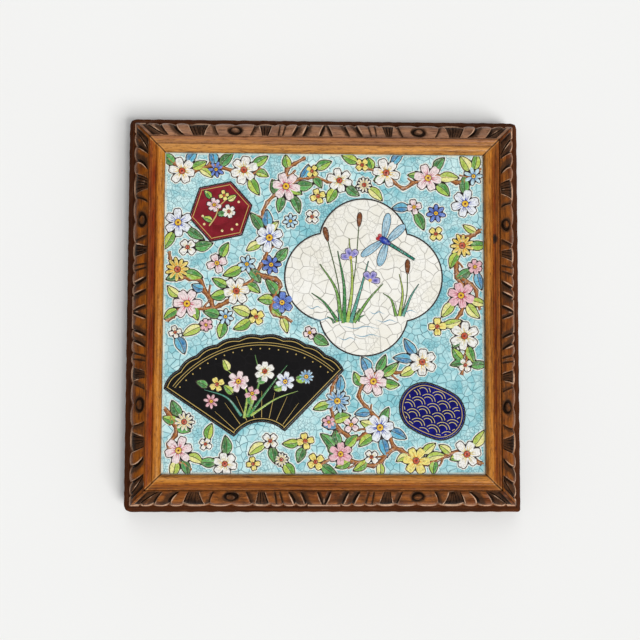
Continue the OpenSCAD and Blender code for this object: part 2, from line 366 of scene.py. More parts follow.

# %% [markdown]
# ## Grime, wear and painted light
#
# Old carving darkens in its hollows and grows pale on its high edges, more in one place and
# less in the next. Here the darkening is partly wax and dust and partly painted shade, and the
# paling partly rubbed wood and partly painted highlight. The meshes carry how deep a point lies
# and how sharply it stands out. This group turns both into a change of colour, and says where
# the wood is dull.

# %% The grime, wear and painted light group
grime_and_light_inputs = {"Vector": "Vector", "Color": "Color", "Hollow": "Float", "Ridge": "Float",
              "Grime_and_shade": "Color", "Pit": "Color", "Rubbed_and_highlight": "Color"}
tree, given, out = group("grime wear and painted light", grime_and_light_inputs, {"Color": "Color", "Dull": "Float"})
blotch = noise(tree, given["Vector"], 160.0, 4.0, 0.6)
speckle = noise(tree, given["Vector"], 900.0, 3.0, 0.6)
uneven = sums(tree, "MULTIPLY_ADD", blotch, 0.7, sums(tree, "MULTIPLY_ADD", speckle, 0.5, -0.6))
# Where a point lies low it darkens: grime and painted shade. Pit is the black of the deepest cuts,
# painted shade with grime.
grime_and_shade = sums(tree, "ADD", uneven, given["Hollow"])
pit = between(tree, grime_and_shade, 0.55, 0.9, 0.0, 0.92)
grime_and_shade = between(tree, grime_and_shade, 0.1, 0.52)
darkened = blended(tree, sums(tree, "MULTIPLY", grime_and_shade, 0.88), given["Color"], given["Grime_and_shade"])
darkened = blended(tree, pit, darkened, given["Pit"])
# Where a point stands out it pales: rubbed wear and painted highlight.
rubbed_and_highlight = sums(tree, "MULTIPLY_ADD", uneven, 1.1, given["Ridge"])
rubbed_and_highlight = between(tree, rubbed_and_highlight, 0.27, 0.85, 0.0, 0.85)
tree.links.new(blended(tree, rubbed_and_highlight, darkened, given["Rubbed_and_highlight"]), out["Color"])
tree.links.new(grime_and_shade, out["Dull"])
print("age group has", len(tree.nodes), "nodes")

# %% [markdown]
# ## The finish of the carved rails
#
# The rails are stained dark and varnished. Their high parts are a warm red-brown and the
# hollows are almost black, with grime and painted shade. The flared outer side never got any
# varnish: it is dark and matt, so it has a finish of its own, on its own faces. No two planks
# took the stain alike, and each mesh says how dark its own is, as tone. The back rail took the
# least, and is also painted a pale grey-pink: a painted sheen, a reflection of a bright wall
# behind it.

# %% Carved wood
carved_finish, tree, shader = finish_tree("carved hardwood", Coat_Roughness=0.2,
                                          Specular_IOR_Level=0.07)
grain_at = stored(tree, "grain", "Vector")
tone = stored(tree, "tone")
grain = place(tree, "wood grain", {"Vector": grain_at, "Light": linear(186, 126, 82),
                                   "Dark": linear(80, 44, 24), "Figure": 0.65, "Pores": 0.8})
slow_stain = noise(tree, stretched(tree, grain_at, 50, 150, 150), 1.0, 3.0)
slow_stain = between(tree, slow_stain, 0.45, 0.65, 0.0, 0.75)
stained = blended(tree, slow_stain, grain["Color"], linear(168, 138, 122), "MULTIPLY")
toned = blended(tree, tone, stained, linear(208, 172, 70), "MULTIPLY")
# A low tone mixes in a pale grey-pink: the back rail's painted sheen.
with_back_sheen = blended(tree, between(tree, tone, 0.0, 0.6, 0.35, 0.0), toned, linear(140, 118, 104))
flecked = place(tree, "grain flecks", {"Vector": grain_at, "Color": with_back_sheen, "Amount": 0.6})
# Hollows darken with grime and painted shade; high edges pale with wear and painted highlight.
grime_and_light = place(tree, "grime wear and painted light", {"Vector": grain_at, "Color": flecked["Color"],
                               "Hollow": stored(tree, "hollow"), "Ridge": stored(tree, "ridge"),
                               "Grime_and_shade": linear(60, 39, 24), "Pit": linear(19, 8, 3),
                               "Rubbed_and_highlight": linear(220, 178, 146)})
seam = sums(tree, "MULTIPLY", stored(tree, "seam"), 0.8)
tree.links.new(blended(tree, seam, grime_and_light["Color"], linear(24, 13, 8)), shader["Base Color"])
tree.links.new(between(tree, grime_and_light["Dull"], 0.0, 1.0, 0.34, 0.6), shader["Roughness"])
varnish = between(tree, grime_and_light["Dull"], 0.0, 1.0, 0.26, 0.0)
varnish = sums(tree, "MULTIPLY", varnish, between(tree, tone, 0.0, 1.0, 1.0, 0.3))
tree.links.new(varnish, shader["Coat Weight"])
tree.links.new(bump(tree, grain["Height"], 0.35, 0.0002), shader["Normal"])
print(carved_finish.name, "has", len(tree.nodes), "nodes")

# %% The flared side
side_finish, tree, shader = finish_tree("matt dark side", Specular_IOR_Level=0.03)
grain_at = stored(tree, "grain", "Vector")
grain = place(tree, "wood grain", {"Vector": grain_at, "Light": linear(90, 46, 20),
                                   "Dark": linear(36, 15, 6), "Figure": 0.6, "Pores": 0.7})
scuffs = noise(tree, stretched(tree, grain_at, 60, 260, 260), 1.0, 4.0, 0.6)
scuffs = between(tree, scuffs, 0.58, 0.72, 0.0, 0.4)
tree.links.new(blended(tree, scuffs, grain["Color"], linear(128, 86, 60)), shader["Base Color"])
tree.links.new(between(tree, grain["Streak"], 0.0, 1.0, 0.75, 0.95), shader["Roughness"])
tree.links.new(bump(tree, grain["Height"], 0.4, 0.0002), shader["Normal"])
print(side_finish.name, "has", len(tree.nodes), "nodes")

# %% [markdown]
# ## The rails' section
#
# Each rail was planed to one moulding before it was carved: a quarter round on top, a narrow
# edge line under it, a side that flares out and down, and rebates underneath for the strip,
# the tile and the board. The section is a closed path of points, read outward from the sight
# edge and up. Its corners are eased by small arcs, as a scraper leaves them.

# %% Draw paths with eased corners
def eased(corner_list, step):
    """A path through corners (across, up, radius), rounded, with a point in every step."""
    count = len(corner_list)
    path = []
    for i, (x, y, r) in enumerate(corner_list):
        here = np.array([x, y], float)
        if i in (0, count - 1) or r == 0:
            path.append(here)
            continue
        back = np.array(corner_list[i - 1][:2], float) - here
        ahead = np.array(corner_list[i + 1][:2], float) - here
        start = here + back / np.linalg.norm(back) * r
        end = here + ahead / np.linalg.norm(ahead) * r
        for t in (0, 0.25, 0.5, 0.75, 1):
            path.append((1 - t) ** 2 * start + 2 * t * (1 - t) * here + t * t * end)
    dense = [path[0]]
    for a, b in zip(path, path[1:]):
        parts = max(1, int(math.ceil(np.linalg.norm(b - a) / step)))
        dense += [a + (b - a) * k / parts for k in range(1, parts + 1)]
    return np.array(dense)


# %% Draw the rails' section
BAND_R = 8.0
BAND_U = STRIP_W + 1.4
BAND_Z = TOP_Z - BAND_R
QUIRK_U = STRIP_W + 0.3
QUIRK_Z = TOP_Z - 0.7
EDGE_Z = BAND_Z - 1.8
EDGE_U = BAND_U + math.sqrt(BAND_R ** 2 - (BAND_Z - EDGE_Z) ** 2)
EDGE_W = 1.0
WALL_U = 2.4
REBATE_U = 14.3
TILE_Z = TILE_LOW[2]
BED_Z = STRIP_LOW[2]
RAIL_W = OUT - SIGHT
PLINTH_Z = BASE_Z + 4
BAND_STEP = 0.3

first_angle = math.acos((QUIRK_U - BAND_U) / BAND_R)
last_angle = -math.asin((BAND_Z - EDGE_Z) / BAND_R)
band_count = int((first_angle - last_angle) * BAND_R / BAND_STEP)
band_angle = np.linspace(first_angle, last_angle, band_count)
band_path = np.stack([BAND_U + BAND_R * np.cos(band_angle), BAND_Z + BAND_R * np.sin(band_angle)], 1)
rest_corners = [
    (EDGE_U, EDGE_Z, 0), (EDGE_U + EDGE_W, EDGE_Z - 0.3, 0.25),
    (EDGE_U + EDGE_W, EDGE_Z - 1, 0.25), (RAIL_W, PLINTH_Z, 0.5), (RAIL_W, BASE_Z, 0.5),
    (REBATE_U, BASE_Z, 0.2), (REBATE_U, TILE_Z, 0), (WALL_U, TILE_Z, 0.2), (WALL_U, BED_Z, 0.2),
    (STRIP_W, BED_Z, 0), (STRIP_W, QUIRK_Z, 0), (QUIRK_U, QUIRK_Z, 0), (QUIRK_U, TOP_Z - 0.05, 0)]
rest_path = eased(rest_corners, 0.8)[1:-1]
section = np.vstack([band_path, rest_path])
on_band = np.arange(len(section)) < band_count
print("section has", len(section), "points,", band_count, "of them carved")

# %% [markdown]
# ## How the carver cut the band
#
# Each rail has two round bosses. From each boss the cuts run out to both sides, leaning away
# from it: a crescent that ends the smooth pad beside the boss, a fan of flutes, fine strokes,
# and wide gouge cuts that leave a row of leaning lobes. Where a cut runs out over the edge it
# leaves a notch, so the edge line is scalloped. A leaf rib covers each mitre.
#
# A heightfield suits such work. For each point of the band, the depth of every cut is worked
# out from its distance past the line that the gouge followed: a steep wall on the boss's
# side, then a long rise. The deepest cut wins, which is just what a gouge does. Each line is a
# curve through three distances from the boss: at the inner edge, halfway and at the outer
# edge. Small seeded shifts keep any two halves from being twins.

# %% The marks beside a boss
# Inner, middle and outer distance from the boss, depth, wall, rise, and how lens-shaped it is.
CORNER_MARKS = [
    (10.3, 12.5, 13.1, 0.95, 0.60, 1.1, 0.25), (10.6, 12.9, 13.6, 0.40, 0.5, 2.8, 0.0),
    (30.9, 35.6, 36.8, 1.45, 0.80, 2.6, 0.8), (30.9, 35.6, 36.8, 0.70, 0.6, 6.5, 0.0),
    (41.1, 44.4, 46.7, 1.05, 0.60, 2.2, 0.5), (41.1, 44.4, 46.7, 0.80, 0.5, 5.5, 0.0),
    (42.4, 49.6, 54.8, 1.20, 0.60, 2.2, 0.3)]
CENTRE_MARKS = [
    (9.6, 11.6, 12.9, 0.95, 0.60, 1.1, 0.25), (9.9, 12.0, 13.3, 0.40, 0.5, 2.8, 0.0),
    (25.9, 26.6, 27.1, 0.80, 0.50, 1.0, 0.4), (29.0, 30.2, 31.1, 0.80, 0.50, 1.2, 0.4),
    (34.9, 37.4, 38.9, 1.40, 0.80, 2.6, 0.8), (34.9, 37.4, 38.9, 0.65, 0.5, 5.0, 0.0),
    (42.0, 44.0, 45.5, 1.20, 0.70, 2.4, 0.7), (42.0, 44.0, 45.5, 0.60, 0.5, 4.5, 0.0)]
# Inner and outer distance of each flute of a fan.
CORNER_FLUTES = [(19.5, 16.4), (20.2, 19.0), (20.9, 21.5), (21.8, 24.0), (23.2, 26.3),
                 (25.0, 28.5)]
CENTRE_FLUTES = [(16.6, 14.8), (17.4, 17.2), (18.4, 19.8), (19.6, 22.2)]
# Distances of the notches in the edge line, and how deep each side's are.
CORNER_NOTCHES = [0, 13.3, 28.6, 37.4, 46.9, 55.2]
CENTRE_NOTCHES = [0, 13.0, 24.0, 31.5, 39.2, 46.0]
CORNER_PULL, CENTRE_PULL = 1.3, 1.2
# Where the two bosses of each rail really sit, measured along the rail from its middle.
BOSSES = {"back": (-55.2, 57.4), "right": (-54.5, 57.3), "front": (-56.3, 56.0),
          "left": (-56.3, 55.6)}
# How far down the band's curve a boss sits. Half lengths and widths of the boss and its pad.
BOSS_ARC = 3.55
BOSS_HALF = (4.35, 3.25)
PAD_HALF = (5.2, 4.2)
# The V in the middle of a rail: inner, middle and outer distance, and each arm's lean and depth.
MIDDLE_V = (3.9, 2.4, 0.5)
V_ARMS = ((-1, 1.25), (1, 1.05))
# The rib over a mitre: half its width, its wall, and how far out and how deep the ground is cut.
RIB_HALF, RIB_WALL, RIB_GROUND, RIB_DEPTH = 1.5, 0.6, 6.5, 0.85
print("marks beside each boss:", len(CORNER_MARKS), "and", len(CENTRE_MARKS))


# %% One cut of the gouge
def past_line(distance, across, inner, middle, outer):
    """How far a point lies past a cut's line, from its distance to the boss and place across."""
    bow = 2 * (inner + outer) - 4 * middle
    slope = 4 * middle - 3 * inner - outer
    return distance - (inner + slope * across + bow * across ** 2)


def cut_depth(past, depth, wall, rise):
    """Depth of one cut at a distance past its line."""
    steep = np.clip(1 + past / wall, 0, 1)
    gentle = np.clip(1 - past / rise, 0, 1) ** 1.5
    return depth * np.where(past < 0, steep, gentle)


def lens(across, amount):
    """A cut is deepest halfway across and runs out at both ends."""
    bulge = np.sqrt(np.clip(np.sin(math.pi * np.clip(across * 0.92 + 0.06, 0, 1)), 0, 1))
    return 1 - amount + amount * bulge


print("halfway up its rise, a cut 1 mm deep is", round(float(cut_depth(1.0, 1.0, 0.6, 2.0)), 2))


# %% The cuts beside a boss
def fan_depth(distance, across, flutes, rng):
    """A scoop with flutes that spread from its foot at the inner edge."""
    lines = [past_line(distance, across, i, (i + o) / 2 + 0.25, o) for i, o in flutes]
    inside = np.clip(lines[0] / 0.7 + 0.5, 0, 1) * np.clip(-lines[-1] / 0.7 + 0.5, 0, 1)
    depth = rng.uniform(0.58, 0.72) * inside * (0.6 + 0.4 * across)
    for line in lines:
        width = 0.62 * (0.6 + 0.6 * np.clip(across, 0, 1)) * rng.uniform(0.6, 1.35)
        groove = np.clip(1 - np.abs(line + rng.normal(0, 0.2)) / width, 0, 1)
        depth = np.maximum(depth, rng.uniform(0.75, 1.35) * groove ** 1.2)
    return depth


def half_depth(distance, across, marks, flutes, rng):
    """Every cut on one side of a boss."""
    depth = fan_depth(distance, across, flutes, rng)
    shift = 0.0
    for index, (inner, middle, outer, deep, wall, rise, lensing) in enumerate(marks):
        if index == 0 or inner != marks[index - 1][0]:
            shift = rng.normal(0, 0.35)
        past = past_line(distance - shift, across, inner, middle, outer)
        strength = deep * rng.uniform(0.88, 1.1)
        depth = np.maximum(depth, cut_depth(past, strength, wall, rise) * lens(across, lensing))
    return depth


print("flutes in each fan:", len(CORNER_FLUTES), "and", len(CENTRE_FLUTES))


# %% The bosses and the scalloped edge
def near_boss(distance, arc):
    """Whether a point lies on a boss or on the smooth pad round it."""
    return np.hypot(distance / PAD_HALF[0], (arc - BOSS_ARC) / PAD_HALF[1]) < 1


def boss_depth(distance, arc, rng):
    """A sunk oval ring with a low dome in it, cut by eye and so never quite even."""
    half_long = BOSS_HALF[0] * rng.uniform(0.95, 1.05)
    r = np.hypot(distance / half_long, (arc - BOSS_ARC) / BOSS_HALF[1])
    round_at = np.arctan2(arc - BOSS_ARC, distance)
    first, second, third = rng.uniform(0, 2 * math.pi, 3)
    wobble = 0.05 * np.sin(2 * round_at + first) + 0.04 * np.sin(3 * round_at + second)
    ring = 0.98 - 0.3 * np.sin(round_at + 0.15 * third)
    ring = ring * np.clip((1.06 - r * (1 + wobble)) / 0.25, 0, 1)
    dome_r = r / (0.66 + 0.05 * np.sin(2 * round_at + third))
    return ring - 1.35 * np.sqrt(np.clip(1 - dome_r ** 2, 0, 1))


def scallop(distance, notches, depth):
    """How far the edge line draws in: nothing between notches, most at them."""
    pull = np.zeros_like(distance)
    for a, b in zip(notches, notches[1:]):
        inside = (distance >= a) & (distance < b)
        along = np.abs(2 * (distance - a) / (b - a) - 1)
        pull[inside] = depth * along[inside] ** 3
    return pull


print("a boss is", 2 * BOSS_HALF[0], "by", 2 * BOSS_HALF[1], "mm")


# %% Carve a rail
def carve(s, across, arc, reach, name):
    """Depth of the carving, and the pull of its edge line, for a rail's grid of points."""
    rng = np.random.default_rng(sorted(SIDES).index(name) + 41)
    depth = np.zeros_like(s)
    pull = np.zeros(len(s))
    for end, boss in zip((-1, 1), BOSSES[name]):
        away = (s - boss) * end
        outward = half_depth(away, across, CORNER_MARKS, CORNER_FLUTES, rng)
        inward = half_depth(-away, across, CENTRE_MARKS, CENTRE_FLUTES, rng)
        cuts = np.where(away >= 0, outward, inward)
        on_pad = near_boss(away, arc)
        cuts = np.where(on_pad, np.minimum(cuts, 0.05), cuts) + boss_depth(away, arc, rng)
        cuts = np.where(on_pad, cuts, np.maximum(cuts, 0))
        mine = s * end >= 0
        depth = np.where(mine, cuts, depth)
        edge = away[:, -1]
        pulled = np.where(edge >= 0, scallop(edge, CORNER_NOTCHES, CORNER_PULL),
                          scallop(-edge, CENTRE_NOTCHES, CENTRE_PULL))
        pull = np.where(mine[:, -1], pulled, pull)
    shift = rng.normal(0, 0.4)
    for lean, deep in V_ARMS:
        foot = past_line((s - shift) * lean, across, *MIDDLE_V)
        arm = cut_depth(-foot, deep, 0.5, 2.2) * lens(across, 0.3) * (across < 0.98)
        depth = np.maximum(depth, arm)
    from_mitre = (reach - np.abs(s)) / math.sqrt(2)
    rib = np.clip((from_mitre - RIB_HALF) / RIB_WALL, 0, 1)
    beside = np.clip((RIB_GROUND - from_mitre) / (RIB_GROUND - RIB_HALF), 0, 1)
    depth = np.maximum(depth, RIB_DEPTH * beside * (from_mitre > 0)) * rib
    return depth, pull


print("each rail is carved round", len(BOSSES["back"]), "bosses")

# %% [markdown]
# ## The four rails
#
# The rings of a rail are the section, stretched so that the first and the last lie in the
# mitre planes. The carving pushes the band's points in along their own normals. Beside the
# shape, five values are kept on the points for the finish: how deep they lie, how much they
# stand out from what is round them, how close they are to the mitre, where they lie in their
# own plank, and how dark that plank is, which on the back rail also brings in a painted sheen.

# %% Soften a grid and ripple it
def soften(field, reach):
    """A smooth average of a grid, for telling ridges from hollows."""
    taps = np.exp(-0.5 * (np.arange(-2 * reach, 2 * reach + 1) / (0.7 * reach)) ** 2)
    taps /= taps.sum()
    for axis in (0, 1):
        pad = [(0, 0), (0, 0)]
        pad[axis] = (2 * reach, 2 * reach)
        wide = np.pad(field, pad, mode="edge")
        field = np.apply_along_axis(lambda row: np.convolve(row, taps, "valid"), axis, wide)
    return field


def hand_ripple(s, w, rng, height):
    """The slow unevenness that hand tools leave."""
    total = np.zeros_like(s)
    for _ in range(6):
        fs, fw, phase = rng.uniform(0.25, 1.1), rng.uniform(0.2, 0.8), rng.uniform(0, 6.3)
        total += np.sin(s * fs + w * fw + phase)
    return total * height / 6


def bell(value, middle, width):
    """1 at the middle, falling softly to nothing on both sides."""
    return np.exp(-((value - middle) / width) ** 2)


print("a bell falls to", round(float(bell(1.0, 0.0, 1.0)), 2), "one width out")


# %% Normals and worn corners
CORNER_R = 6.0
SHARP_R = 3.0


def normals_of(path):
    """Outward normals of a closed path that runs clockwise, seen with up as up."""
    ahead = np.roll(path, -1, 0) - np.roll(path, 1, 0)
    normal = np.stack([-ahead[:, 1], ahead[:, 0]], 1)
    return normal / np.linalg.norm(normal, axis=1)[:, None]


def round_corner(points):
    """Draws the outer corners in to a radius. The one at the front right is the least worn."""
    at_front_right = (points[:, 0] > 0) & (points[:, 1] < 0)
    radius = np.where(at_front_right, SHARP_R, CORNER_R)[:, None]
    inner = OUT - radius
    over = np.abs(points[:, :2]) - inner
    both = (over > 0).all(1)
    length = np.linalg.norm(over, axis=1)[:, None]
    shrink = np.where(both[:, None] & (length > radius), radius / np.maximum(length, 1e-9), 1)
    pulled = (inner + over * shrink) * np.sign(points[:, :2])
    points[:, :2] = np.where(both[:, None], pulled, points[:, :2])
    return points


print("corners are worn to", CORNER_R, "mm, one of them only to", SHARP_R)


# %% Faces of a bar and grain of a plank
def bar_faces(rings, ring_size):
    """Four-sided faces between rings, and a cap at each end."""
    faces = []
    for i in range(rings - 1):
        for j in range(ring_size):
            k = (j + 1) % ring_size
            a, b = i * ring_size, (i + 1) * ring_size
            faces.append((a + j, b + j, b + k, a + k))
    faces.append(tuple(range(ring_size)))
    last = (rings - 1) * ring_size
    faces.append(tuple(last + j for j in reversed(range(ring_size))))
    return faces


def plank_grain(s, reach, z, rng):
    """Where each point lies in its own plank, for the grain: no two planks are cut alike."""
    plank = rng.uniform(0, 40)
    in_plank = np.stack([s + plank * 10, reach - SIGHT + plank, z + plank * 3], 2)
    return in_plank.reshape(-1, 3) * MM


print("a bar of two square rings has", len(bar_faces(2, 4)), "faces")

# %% Zones of the rails' section
ALONG = 760
RAIL_FACES = bar_faces(ALONG, len(section))
section_normal = normals_of(section)
section_normal[:band_count] = np.stack([np.cos(band_angle), np.sin(band_angle)], 1)
arc_mm = (first_angle - band_angle) * BAND_R
band_width = BAND_U + BAND_R - QUIRK_U
across_row = (band_path[:, 0] - QUIRK_U) / band_width
across_row[band_angle < 0] = 1 + (-band_angle[band_angle < 0]) * BAND_R / band_width
MITRE_GAP = 0.06
# The scallops fade out on the side below the edge line, from this height and over this much.
LIP_FOOT, LIP_FADE = 16.5, 2.5
# How dark each plank took the stain. The back's low value also brings in its painted sheen.
RAIL_TONE = {"back": 0.05, "right": 0.9, "front": 0.8, "left": 1.0}

out_at, up_at = section.T
past_edge = (~on_band) & (out_at > EDGE_U - 0.01)
lip = past_edge & (up_at > LIP_FOOT)
on_edge = past_edge & (up_at > EDGE_Z - 1.4)
flare = (~on_band) & (out_at > EDGE_U + EDGE_W - 0.01)
in_quirk = (~on_band) & (out_at < QUIRK_U + 0.01)
matt_part = ((~on_band) & (up_at < EDGE_Z - 1.2) & (out_at > 5)).astype(np.int32)
# The outer rim of the band is paled: wear and a painted highlight along its edge.
lip_wear_and_highlight = 0.6 * np.clip((np.arange(band_count) - band_count + 9) / 8, 0, 1) ** 2
print("section points on the edge line:", int(on_edge.sum()), "and on the flare:", int(flare.sum()))


# %% Push the carving in, and tell its grime, wear and painted light
def pushed_in(s, depth, pull, rng):
    """How far each point of a rail goes in along its normal: carving, edge line, rough flare."""
    inward = np.zeros_like(s)
    outer_part = np.clip((across_row - 0.72) / 0.28, 0, 1) ** 1.5
    shown = np.clip((1.25 - across_row) / 0.2, 0, 1)
    inward[:, :band_count] = depth * shown + pull[:, None] * outer_part
    inward[:, lip] = pull[:, None] * np.clip((up_at[lip] - LIP_FOOT) / LIP_FADE, 0, 1)
    rough_side = hand_ripple(s, np.broadcast_to(up_at, s.shape), rng, 0.22) + 0.22
    inward[:, flare] += rough_side[:, flare]
    return inward


def band_grime_wear_and_light(depth, along, arcs, side_name):
    """How dark each point of a carved band is, as grime and painted shade, and how pale, as wear and
    painted highlight.
    """
    tone = RAIL_TONE[side_name]
    # The darkening spreads from each cut up its slope: painted shade as well as grime. Hollows on the
    # paler back rail, with its painted sheen, stay lighter.
    low_ground = np.clip(0.7 * depth / 0.46 + 0.3 * soften(depth, 5) / 0.42, 0, 1)
    low_ground = np.clip(low_ground * (1 + 0.4 * tone), 0, 1)
    hollow = 0.58 * low_ground + (0.36 + 0.14 * tone) * np.clip((depth - 0.55) / 0.45, 0, 1)
    ridge = np.clip((soften(depth, 4) - depth) / 0.36 - 0.1, 0, 0.95)
    # A boss and its pad are painted a little darker and with less highlight.
    for boss in BOSSES[side_name]:
        on_pad = near_boss(along - boss, arcs)
        ridge[on_pad] *= 0.45
        hollow[on_pad] += 0.12
    return hollow, np.maximum(ridge, lip_wear_and_highlight)


print("planks took the stain by", RAIL_TONE)

# %% Build the rails
for side_name, quarter in SIDES.items():
    rng = np.random.default_rng(len(side_name) * 7 + 5)
    t = np.linspace(-1, 1, ALONG)[:, None]
    reach = SIGHT + out_at[None, :]
    s = t * reach
    band_s = s[:, :band_count]
    arcs = np.broadcast_to(arc_mm, band_s.shape)
    acrosses = np.broadcast_to(across_row, band_s.shape)
    depth, pull = carve(band_s, acrosses, arcs, reach[:, :band_count], side_name)
    fade_in = np.clip(arcs / 0.5, 0, 1)
    depth = depth * fade_in + hand_ripple(band_s, arcs, rng, 0.09) + 0.10
    hollow = np.zeros_like(s)
    ridge = np.zeros_like(s)
    hollow[:, :band_count], ridge[:, :band_count] = band_grime_wear_and_light(depth, band_s, arcs, side_name)
    # The quirk beside the moulding is darkened: painted shade with some grime.
    hollow[:, in_quirk] = 0.3
    # The edge line is paled: partly wear, partly a painted highlight along the arris.
    ridge[:, on_edge] = 0.75 * (1 - 0.6 * pull[:, None])
    seam = np.exp(-np.abs(reach - np.abs(s)) / math.sqrt(2) / 0.28)

    inward = pushed_in(s, depth, pull, rng)
    new_reach = SIGHT + (out_at - section_normal[:, 0] * inward)
    z = up_at - section_normal[:, 1] * inward
    end_pull = np.abs(t) ** 30
    x = t * (reach + (new_reach - reach) * end_pull) - np.sign(t) * MITRE_GAP * end_pull
    points = np.stack([x, new_reach, z], 2).reshape(-1, 3)
    points = round_corner(turned(points, quarter))
    values = {"hollow": hollow.ravel(), "ridge": ridge.ravel(), "seam": seam.ravel(),
              "grain": plank_grain(s, new_reach, z, rng),
              "tone": np.full(s.size, RAIL_TONE[side_name])}
    rail = make_piece("carved_rail_" + side_name + "_skin", points, RAIL_FACES, values, 60)
    fit(rail, "carved_wood", carved_finish, "carved_rail_" + side_name)
    rail.data.materials.append(side_finish)
    face_finish = np.append(np.tile(matt_part, ALONG - 1), [1, 1])
    rail.data.polygons.foreach_set("material_index", face_finish)

# %% [markdown]
# ## The sight mouldings
#
# Four strips of the same wood, lighter because they were only varnished, cover the tile's
# edge. Each has a broad bead, and a narrow cove that slopes up to a flat fillet. The cove is
# red, partly from old varnish that ran into it and partly as painted shade, and a painted honey
# highlight runs along the crown of the bead. The strip at the back is painted a dull, pinkish
# grey in its cove: a painted sheen, a reflection of a bright wall behind it. The face is
# worked out as a height for each distance from the sight edge: the bead's round, then the
# cove's hollow, then a straight rise to the fillet.

# %% Moulding wood
moulding_finish, tree, shader = finish_tree("varnished moulding", Coat_Roughness=0.14,
                                            Specular_IOR_Level=0.2)
grain_at = stored(tree, "grain", "Vector")
tone = stored(tree, "tone")
cove = stored(tree, "cove")
fillet = stored(tree, "fillet")
grain = place(tree, "wood grain", {"Vector": grain_at, "Light": linear(222, 156, 78),
                                   "Dark": linear(104, 54, 18), "Figure": 0.65, "Pores": 1.0})
toned = blended(tree, tone, grain["Color"], linear(246, 224, 150), "MULTIPLY")
# At the back the cove's colour is a lavender grey, a painted sheen; on the other strips it is the red
# of old varnish, partly painted shade.
cove_colour = blended(tree, tone, linear(178, 168, 184), linear(164, 98, 40))
reddened = blended(tree, cove, toned, cove_colour, "MULTIPLY")
browned = blended(tree, fillet, reddened, linear(196, 166, 156), "MULTIPLY")
# A painted sheen over the back strip's cove and fillet.
sheen_share = between(tree, tone, 0.0, 0.6, 0.6, 0.0)
cove_sheen = sums(tree, "MULTIPLY", sheen_share, sums(tree, "MAXIMUM", cove, fillet))
with_cove_sheen = blended(tree, cove_sheen, browned, linear(162, 116, 90))
flecked = place(tree, "grain flecks", {"Vector": grain_at, "Color": with_cove_sheen, "Amount": 0.6})
grime_and_light = place(tree, "grime wear and painted light", {"Vector": grain_at, "Color": flecked["Color"],
                               "Hollow": stored(tree, "hollow"), "Ridge": stored(tree, "ridge"),
                               "Grime_and_shade": linear(52, 28, 14), "Pit": linear(30, 16, 9),
                               "Rubbed_and_highlight": linear(214, 150, 80)})
seam = sums(tree, "MULTIPLY", stored(tree, "seam"), 0.85)
tree.links.new(blended(tree, seam, grime_and_light["Color"], linear(40, 20, 10)), shader["Base Color"])
tree.links.new(between(tree, grime_and_light["Dull"], 0.0, 1.0, 0.28, 0.5), shader["Roughness"])
tree.links.new(between(tree, grain["Streak"], 0.0, 1.0, 0.1, 0.3), shader["Coat Weight"])
tree.links.new(bump(tree, grain["Height"], 0.3, 0.00015), shader["Normal"])
print(moulding_finish.name, "has", len(tree.nodes), "nodes")

# %% Draw the mouldings' face
BEAD_R = 3.8
BEAD_AT = (BEAD_R + 0.1, STRIP_HIGH[2] - 0.3 - BEAD_R)
COVE_R = 1.3
COVE_AT = (6.3, STRIP_HIGH[2] - 0.325)
FILLET_U = 8.2
FILLET_Z = STRIP_HIGH[2] - 0.02
BED_TOP = STRIP_HIGH[2] - 1.56


def moulding_height(u):
    """Height of the moulding's face at a distance from the sight edge."""
    bead = BEAD_AT[1] + np.sqrt(np.clip(BEAD_R ** 2 - (u - BEAD_AT[0]) ** 2, 0, None))
    height = np.where(u > BEAD_AT[0], np.maximum(bead, BED_TOP), bead)
    dip = COVE_AT[1] - np.sqrt(np.clip(COVE_R ** 2 - (u - COVE_AT[0]) ** 2, 0, None))
    height = np.where(np.abs(u - COVE_AT[0]) < COVE_R, np.minimum(height, dip), height)
    rise = np.clip((u - COVE_AT[0]) / (FILLET_U - COVE_AT[0]), 0, 1)
    lowest = COVE_AT[1] - COVE_R
    return np.where(u > COVE_AT[0], lowest + (FILLET_Z - lowest) * rise, height)


print("the cove is", round(FILLET_Z - COVE_AT[1] + COVE_R, 2), "mm below the fillet")

# %% Draw the mouldings' section
FACE_STEP = 0.22
steep_part = BEAD_AT[0] - BEAD_R * np.cos(np.linspace(0, math.pi / 2, 16))
rest_part = np.arange(BEAD_AT[0] + FACE_STEP, STRIP_W - 0.1, FACE_STEP)
face_u = np.concatenate([steep_part, rest_part])
face_z = moulding_height(face_u)
sharp_z = face_z.copy()
face_z[1:-1] = 0.25 * sharp_z[:-2] + 0.5 * sharp_z[1:-1] + 0.25 * sharp_z[2:]
face_path = np.stack([face_u, face_z], 1)
under_path = np.array([[STRIP_W - 0.03, STRIP_HIGH[2] - 0.15], [STRIP_W - 0.03, BED_Z],
                       [5.0, BED_Z], [BEAD_AT[0] - BEAD_R, BED_Z]])
strip_section = np.vstack([face_path, under_path])
print("moulding section has", len(strip_section), "points")

# %% Where the varnish, the dark lines and the painted highlights lie
# The cove's middle, the crease between bead and cove that is darkened by grime and painted
# shade, where the fillet's brown begins, and the outer edge with its painted highlight, each as
# a distance from the sight edge.
COVE_MIDDLE, CREASE_LINE, BROWN_FROM, OUTER_EDGE = 6.6, 5.7, 7.4, 8.9
COVE_STAIN = {"back": 0.8, "right": 0.95, "front": 0.8, "left": 1.0}
# How far the cove's red spreads, towards the bead and towards the fillet. Where it reaches far
# towards the bead, it is painted shade on the bead's outer flank.
COVE_WIDTH = {"back": (1.7, 1.1), "right": (2.2, 1.1), "front": (1.7, 1.1), "left": (2.6, 3.0)}
# Where across each bead the painted highlight of its crown lies, shifted to the side that the light
# would catch.
CROWN_AT = {"back": 3.2, "right": 2.3, "front": 3.0, "left": 2.2}
